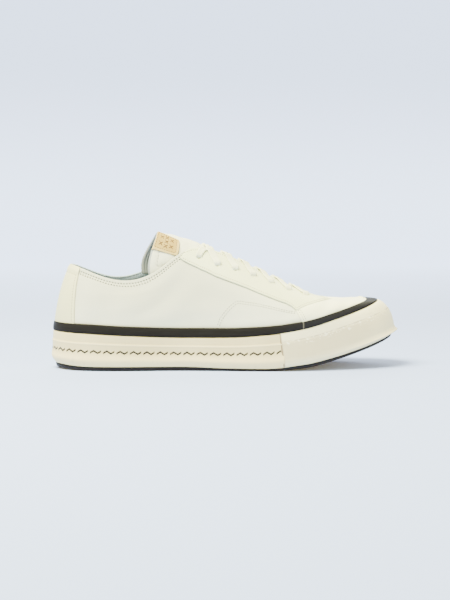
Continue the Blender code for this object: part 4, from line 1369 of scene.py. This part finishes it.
# Cross-sections of the tongue from its free top edge to its sewn front end.
TONGUE = table(
    "place along ridge half_width edge wrap outer_sweep inner_sweep",
    ("top_edge", 0.305, 0.1163, 0.0232, 0.0800, 88, 0.0088, 0.0136),
    ("collar", 0.345, 0.1133, 0.0225, 0.0810, 88, 0.0042, 0.0054),
    ("bend", 0.385, 0.1098, 0.0220, 0.0825, 84, 0.001, 0.002),
    ("facing_top", 0.412, 0.1074, 0.0222, 0.0872, 80, 0.000, 0.000),
    ("bulge", 0.436, 0.1028, 0.0222, 0.0885, 70, 0.000, 0.000),
    ("second_hole", 0.462, 0.0985, 0.0220, 0.0875, 60, 0.000, 0.000),
    ("waist_hole", 0.540, 0.0878, 0.0215, 0.0812, 52, 0.000, 0.000),
    ("middle_hole", 0.640, 0.0735, 0.0200, 0.0680, 48, 0.000, 0.000),
    ("first_hole", 0.727, 0.0600, 0.0175, 0.0572, 44, 0.000, 0.000),
    ("sewn_end", 0.800, 0.0484, 0.0130, 0.0474, 40, 0.000, 0.000))
TONGUE_TOP = TONGUE[0].along
TONGUE_END = TONGUE[-1].along


def tongue_at(along, share, offset=0.0):
    """The tongue's outside at places along the shoe and shares of its wrap from -1 to 1."""
    along, share = np.broadcast_arrays(np.asarray(along, dtype=float), np.asarray(share, dtype=float))
    knots, *columns = np.array([row[1:] for row in TONGUE]).T
    ridge, half_width, edge, wrap, outer, inner = (steady(knots, column, along) for column in columns)
    wrap = np.radians(wrap)
    angle = share * wrap
    sweep = np.where(share < 0, outer, inner) * np.interp(np.abs(share), SWEEP_SHARE, SWEEP_PART)
    x = along_to_x(along) - sweep
    y = (half_width + offset) * np.sin(angle) / np.sin(wrap) + throat_shift(x)
    fall = (ridge - edge) * (1 - np.cos(angle)) / (1 - np.cos(wrap))
    return np.stack([x, y, ridge + offset - fall], -1)


def on_tongue(along, share, height=0.0):
    """A place above the tongue and the direction out of it."""
    step = 0.004
    out = unit(np.cross(tongue_at(along + step, share) - tongue_at(along - step, share),
                        tongue_at(along, share + step) - tongue_at(along, share - step)))
    out = np.where(out[..., 2:] < 0, -out, out)
    return tongue_at(along, share) + out * np.asarray(height)[..., None], out


def make_tongue():
    alongs, shares = np.meshgrid(np.linspace(TONGUE_TOP, TONGUE_END, TONGUE_STATIONS),
                                 np.linspace(-1, 1, TONGUE_COLUMNS))
    edge = np.minimum((alongs - TONGUE_TOP) * LENGTH, (1 - np.abs(shares)) * TONGUE_HALF)
    pad = 0.0004 * ramp(edge, 0, 0.012) - 0.00035 * swell(edge, TONGUE_SEAM, 0.0009)
    wrinkle = 0.00025 * np.sin(alongs * 150 + 3 * shares) * np.sin(shares * 5 + 1) * ramp(edge, 0, 0.01)
    base = tongue_at(alongs, shares)
    slab("tongue_leather_and_lining", base + normals_of(base) * (pad + wrinkle)[..., None], TONGUE_THICK,
         [leather("tongue_leather", (0.690, 0.700, 0.560), (0.720, 0.730, 0.590), 0.25),
          lining_cloth("tongue_lining", (0.272, 0.310, 0.320), (0.325, 0.355, 0.368))],
         marks={"shade": 0.3 * swell(edge, TONGUE_SEAM, 0.0007)}, edge=1, slot="tongue_leather",
         stands_for=["tongue"])
    place = np.linspace(TONGUE_TOP + TONGUE_SEAM / LENGTH, SEAM_FRONT, 60)
    side = 1 - TONGUE_SEAM / TONGUE_HALF
    rows = [on_tongue(place, -side), on_tongue(place, side),
            on_tongue(place[0], np.linspace(-side, side, 60))]
    pale = thread("tongue_thread", (0.60, 0.62, 0.55), (0.48, 0.50, 0.43))
    stitches("tongue_stitches", rows, pale, "tongue_leather", pitch=0.0026, radius=0.00030)


make_tongue()


# ------------------------------------------------------------------ tongue label
# A small tab of tan leather is folded over the top of the tongue and sewn down by a border of
# running stitches. Three short rows of small crosses in the same brown thread decorate it.

LABEL_THICK = 0.0010
LABEL_PROUD = 0.0014
LABEL_FROM = 0.362
LABEL_TO = 0.3000
LABEL_LOW = (-0.58, -0.68)
LABEL_HIGH = (-0.12, -0.31)
LABEL_BOW = 0.0025
LABEL_WIDE = 0.015
LABEL_WORN = 0.0016
BORDER = (LABEL_TO + 0.0050, LABEL_FROM - 0.0060, 0.09, 0.91)
CROSS_SIZE = 0.0017
CROSSES = ((0.24, 0.32), (0.24, 0.68), (0.50, 0.26), (0.50, 0.50), (0.50, 0.74), (0.76, 0.32), (0.76, 0.68))


def label_place(along, across):
    """The place along the tongue and the wrap share of a point of the tab, a little slanted."""
    ahead = (along - LABEL_TO) / (LABEL_FROM - LABEL_TO)
    low, high = (start + (end - start) * ahead for start, end in (LABEL_LOW, LABEL_HIGH))
    return along - LABEL_BOW * ahead * np.abs(2 * across - 1) ** 3, low + (high - low) * across


def tan_leather():
    wear = Finish("tan_leather", Specular_IOR_Level=0.3)
    cloud = wear.noise(90.0, 4.0)
    colour = wear.coats((0.370, 0.255, 0.066), (cloud, 0.3, 0.7, 1.0, (0.420, 0.300, 0.088)),
                        ("edge", 0.6, (0.60, 0.47, 0.20)))
    return wear.done(colour, (wear.cells(1300.0) + cloud, 0.0001, 0.4), cloud, 0.48, 0.6)


def line_on_label(first, last, count):
    along, across = np.linspace(first, last, count).T
    return on_tongue(*label_place(along, across), LABEL_PROUD)


def make_label():
    alongs, across = np.meshgrid(np.linspace(LABEL_TO, LABEL_FROM, 44), np.linspace(0, 1, 60))
    alongs, shares = label_place(alongs, across)
    curl = ramp(alongs, LABEL_FROM - 0.012, LABEL_FROM) ** 2
    points, _ = on_tongue(alongs, shares, 0.0013 + 0.0005 * curl)
    points[..., 2] -= LABEL_PROUD * ramp(alongs, LABEL_TO + 0.004, LABEL_TO) ** 2
    edge = np.minimum(np.minimum(alongs - LABEL_TO, LABEL_FROM - alongs) * LENGTH,
                      np.minimum(across, 1 - across) * LABEL_WIDE)
    slab("label_tan_leather", points, LABEL_THICK, [tan_leather()],
         marks={"edge": ramp(edge, LABEL_WORN, 0)}, slot="label_leather", stands_for=["tongue_label"])

    near, far, left, right = BORDER
    corners = ((near, left), (far, left), (far, right), (near, right), (near, left))
    border = [line_on_label(first, last, 30) for first, last in zip(corners, corners[1:])]
    step, turn = CROSS_SIZE / LENGTH, CROSS_SIZE / (LABEL_WIDE + 0.001)
    crosses = []
    for place, wrap in CROSSES:
        middle = near + (far - near) * place
        for lean in (turn, -turn):
            crosses.append(line_on_label((middle - step, wrap - lean), (middle + step, wrap + lean), 4))
    brown = thread("brown_thread", (0.16, 0.085, 0.030), (0.09, 0.045, 0.018))
    stitches("label_border", border, brown, "label_leather", pitch=0.0021, radius=0.00022)
    stitches("label_crosses", crosses, brown, "label_leather", pitch=0.01, radius=0.00034, fill=0.95)


make_label()


# ------------------------------------------------------------------ laces
# One flat cotton lace crosses the throat six times a side. Each run comes up through a hole, lies
# over its own facing and the tongue, and goes down under the far facing to the next hole.

LACE_WIDTH = 0.0064
LACE_THICK = 0.0012
LACE_TOP = FACING_PROUD + LACE_THICK / 2
LACE_CROSSING = 0.0013
LACE_WEAVE = 5200.0
HOLE_WIDTH = 0.0042
LACE_CREASE = 0.00040
FRONT_SLACK = 0.0014
LACE_SIDES = 20
LACE_STEPS = 92
RIDGE_UP = (0.40, 0, 0.92)


def cotton():
    wear = Finish("lace_cotton", Roughness=0.85, Specular_IOR_Level=0.2)
    along, across = (place * LACE_WEAVE for place in wear.lay())
    plait = (along + across).sine().maths("MAXIMUM", (along - across).sine())
    colour = wear.coats((0.790, 0.810, 0.590),
                        (wear.noise(70.0, 3.0), 0.35, 0.65, 1.0, (0.820, 0.840, 0.620)),
                        (plait, 0.3, -0.6, 0.30, (0.52, 0.52, 0.40)))
    return wear.done(colour, (plait, 0.00018, 0.5))


def ribbon(points, ups, widths, thicks):
    """Rings of a flat band along a line; every ring is a flattened round."""
    knots = run_of(np.array(points))
    places = np.linspace(0, knots[-1], LACE_STEPS)
    both = np.column_stack([points, ups])
    line, above = np.split(hermite(knots, both, np.gradient(both, knots, axis=0), places), 2, axis=1)
    wide, thick = (np.interp(places, knots, np.broadcast_to(size, len(knots)))[:, None]
                   for size in (widths, thicks))
    ahead = unit(np.gradient(line, axis=0))
    side = unit(np.cross(ahead, above))
    turn = np.arange(LACE_SIDES) * 2 * math.pi / LACE_SIDES
    flat = np.sign(np.cos(turn)) * np.abs(np.cos(turn)) ** 0.55
    tall = np.sign(np.sin(turn)) * np.abs(np.sin(turn)) ** 0.75
    crease = LACE_CREASE * swell(flat, 0, 0.28) * (np.sin(turn) > 0)
    return (line[:, None] + side[:, None] * (flat * wide / 2)[..., None]
            + np.cross(side, ahead)[:, None] * (tall * thick / 2 - crease)[..., None])


def hole_frame(number, side):
    """A hole's middle, the direction out of the facing and the direction to the throat."""
    loop, share = HOLES[number, side]
    middle, out = on_skin(loop, share, 0.0)
    return middle, out, square_to(skin(loop, min(share + 0.05, 1)) - middle, out)


def out_of_hole(number, side):
    """Points and ups of a lace on its way up through a hole."""
    middle, out, inward = hole_frame(number, side)
    return [(middle - out * 0.0035 - inward * 0.0004, -inward),
            (middle - out * 0.0002 - inward * 0.0007, -inward),
            (middle + out * (LACE_TOP + 0.0003) + inward * 0.0006, (out - inward) * 0.7)]


def lace_run(number, side):
    """A run from one hole over the throat to the next hole of the other side."""
    middle, _, _ = hole_frame(number, side)
    far_middle, far_out, _ = hole_frame(number + 1, -side)
    loop, share = HOLES[number, side]
    far_loop, far_share = HOLES[number + 1, -side]
    span = 2 - far_loop - loop
    chain = out_of_hole(number, side)
    for part, level, height in ((0.10, 0.40, 0.0002), (0.22, 0.78, 0.0002), (0.30, 0.985, 0.0006)):
        chain.append(on_skin(loop + span * part, share + (1 - share) * level, LACE_TOP + height))
    along = (middle[0] + far_middle[0]) / 2 / LENGTH + 0.5
    slack = FRONT_SLACK * ramp(number, 4, 2)
    chain.append((tongue_at(along, 0.0, 0.0012 + (LACE_CROSSING if side > 0 else 0) + slack), RIDGE_UP))
    edge, out = on_skin(far_loop + span * 0.30, 1.0, -0.0002 - WALL * 0.6)
    chain.append((edge + (0, side * 0.0016, 0.0006), out * 0.8 + (0.1, 0, 0.5)))
    chain.append((skin(far_loop + span * 0.12, (far_share + 1) / 2, -WALL - LACE_THICK / 2), far_out))
    chain.append((far_middle - far_out * 0.0034, far_out))
    widths = [HOLE_WIDTH, 0.0046, 0.0060] + [LACE_WIDTH] * 6 + [HOLE_WIDTH]
    thicks = [0.0020, 0.0020, 0.0017, 0.0014] + [LACE_THICK] * 4 + [0.0009, LACE_THICK]
    return ribbon(*zip(*chain), widths, thicks)


def front_bar():
    """The lace's middle, which lies on the tongue between the first two holes."""
    halves = []
    for side in (-1, 1):
        middle, out, inward = hole_frame(0, side)
        loop, share = HOLES[0, side]
        halves.append([(middle - out * 0.0010, -inward, HOLE_WIDTH),
                       (middle - out * 0.0032 + inward * 0.0018, out, 0.0050),
                       (skin(loop, share * 0.4 + 0.6, -WALL - 0.0008), out, LACE_WIDTH)])
    first, second = halves
    along = first[-1][0][0] / LENGTH + 0.5
    ridge = (tongue_at(along, 0.0, 0.0010), RIDGE_UP, LACE_WIDTH)
    return ribbon(*zip(*first, ridge, *second[::-1]), LACE_THICK)


def top_end(side):
    """The last of the lace: out of the top hole, over the facing's edge and down beside the tongue."""
    loop, share = HOLES[EYELETS - 1, side]
    step = 0.020 if loop < 1 else -0.020
    chain = out_of_hole(EYELETS - 1, side)
    for part, level, height in ((0.3, 0.5, 0.0002), (0.7, 0.88, 0.0003), (0.95, 1.0, 0.0)):
        at = loop + step * part
        chain.append((skin(at, share + (1 - share) * level, LACE_TOP + height), upper_normal(at, 1.0)))
    edge, normal = on_skin(loop + step * 1.1, 1.0, 0.0)
    across = np.array([0.0, -side, 0.0])
    chain += [(edge + across * 0.0022 + normal * 0.0004, across + normal * 0.6),
              (edge + across * 0.0020 - normal * 0.0040, across),
              (edge + across * 0.0004 - normal * 0.0075, across)]
    return ribbon(*zip(*chain), [HOLE_WIDTH, 0.0044, 0.0052] + [0.0056] * 6, LACE_THICK)


def make_laces():
    runs = [lace_run(number, side) for number in range(EYELETS - 1) for side in (-1, 1)]
    runs += [front_bar(), top_end(-1), top_end(1)]
    sheets("lace_cotton_runs", [(run, True) for run in runs], cotton(),
           slot="lace_cotton", stands_for=["lace"])


make_laces()
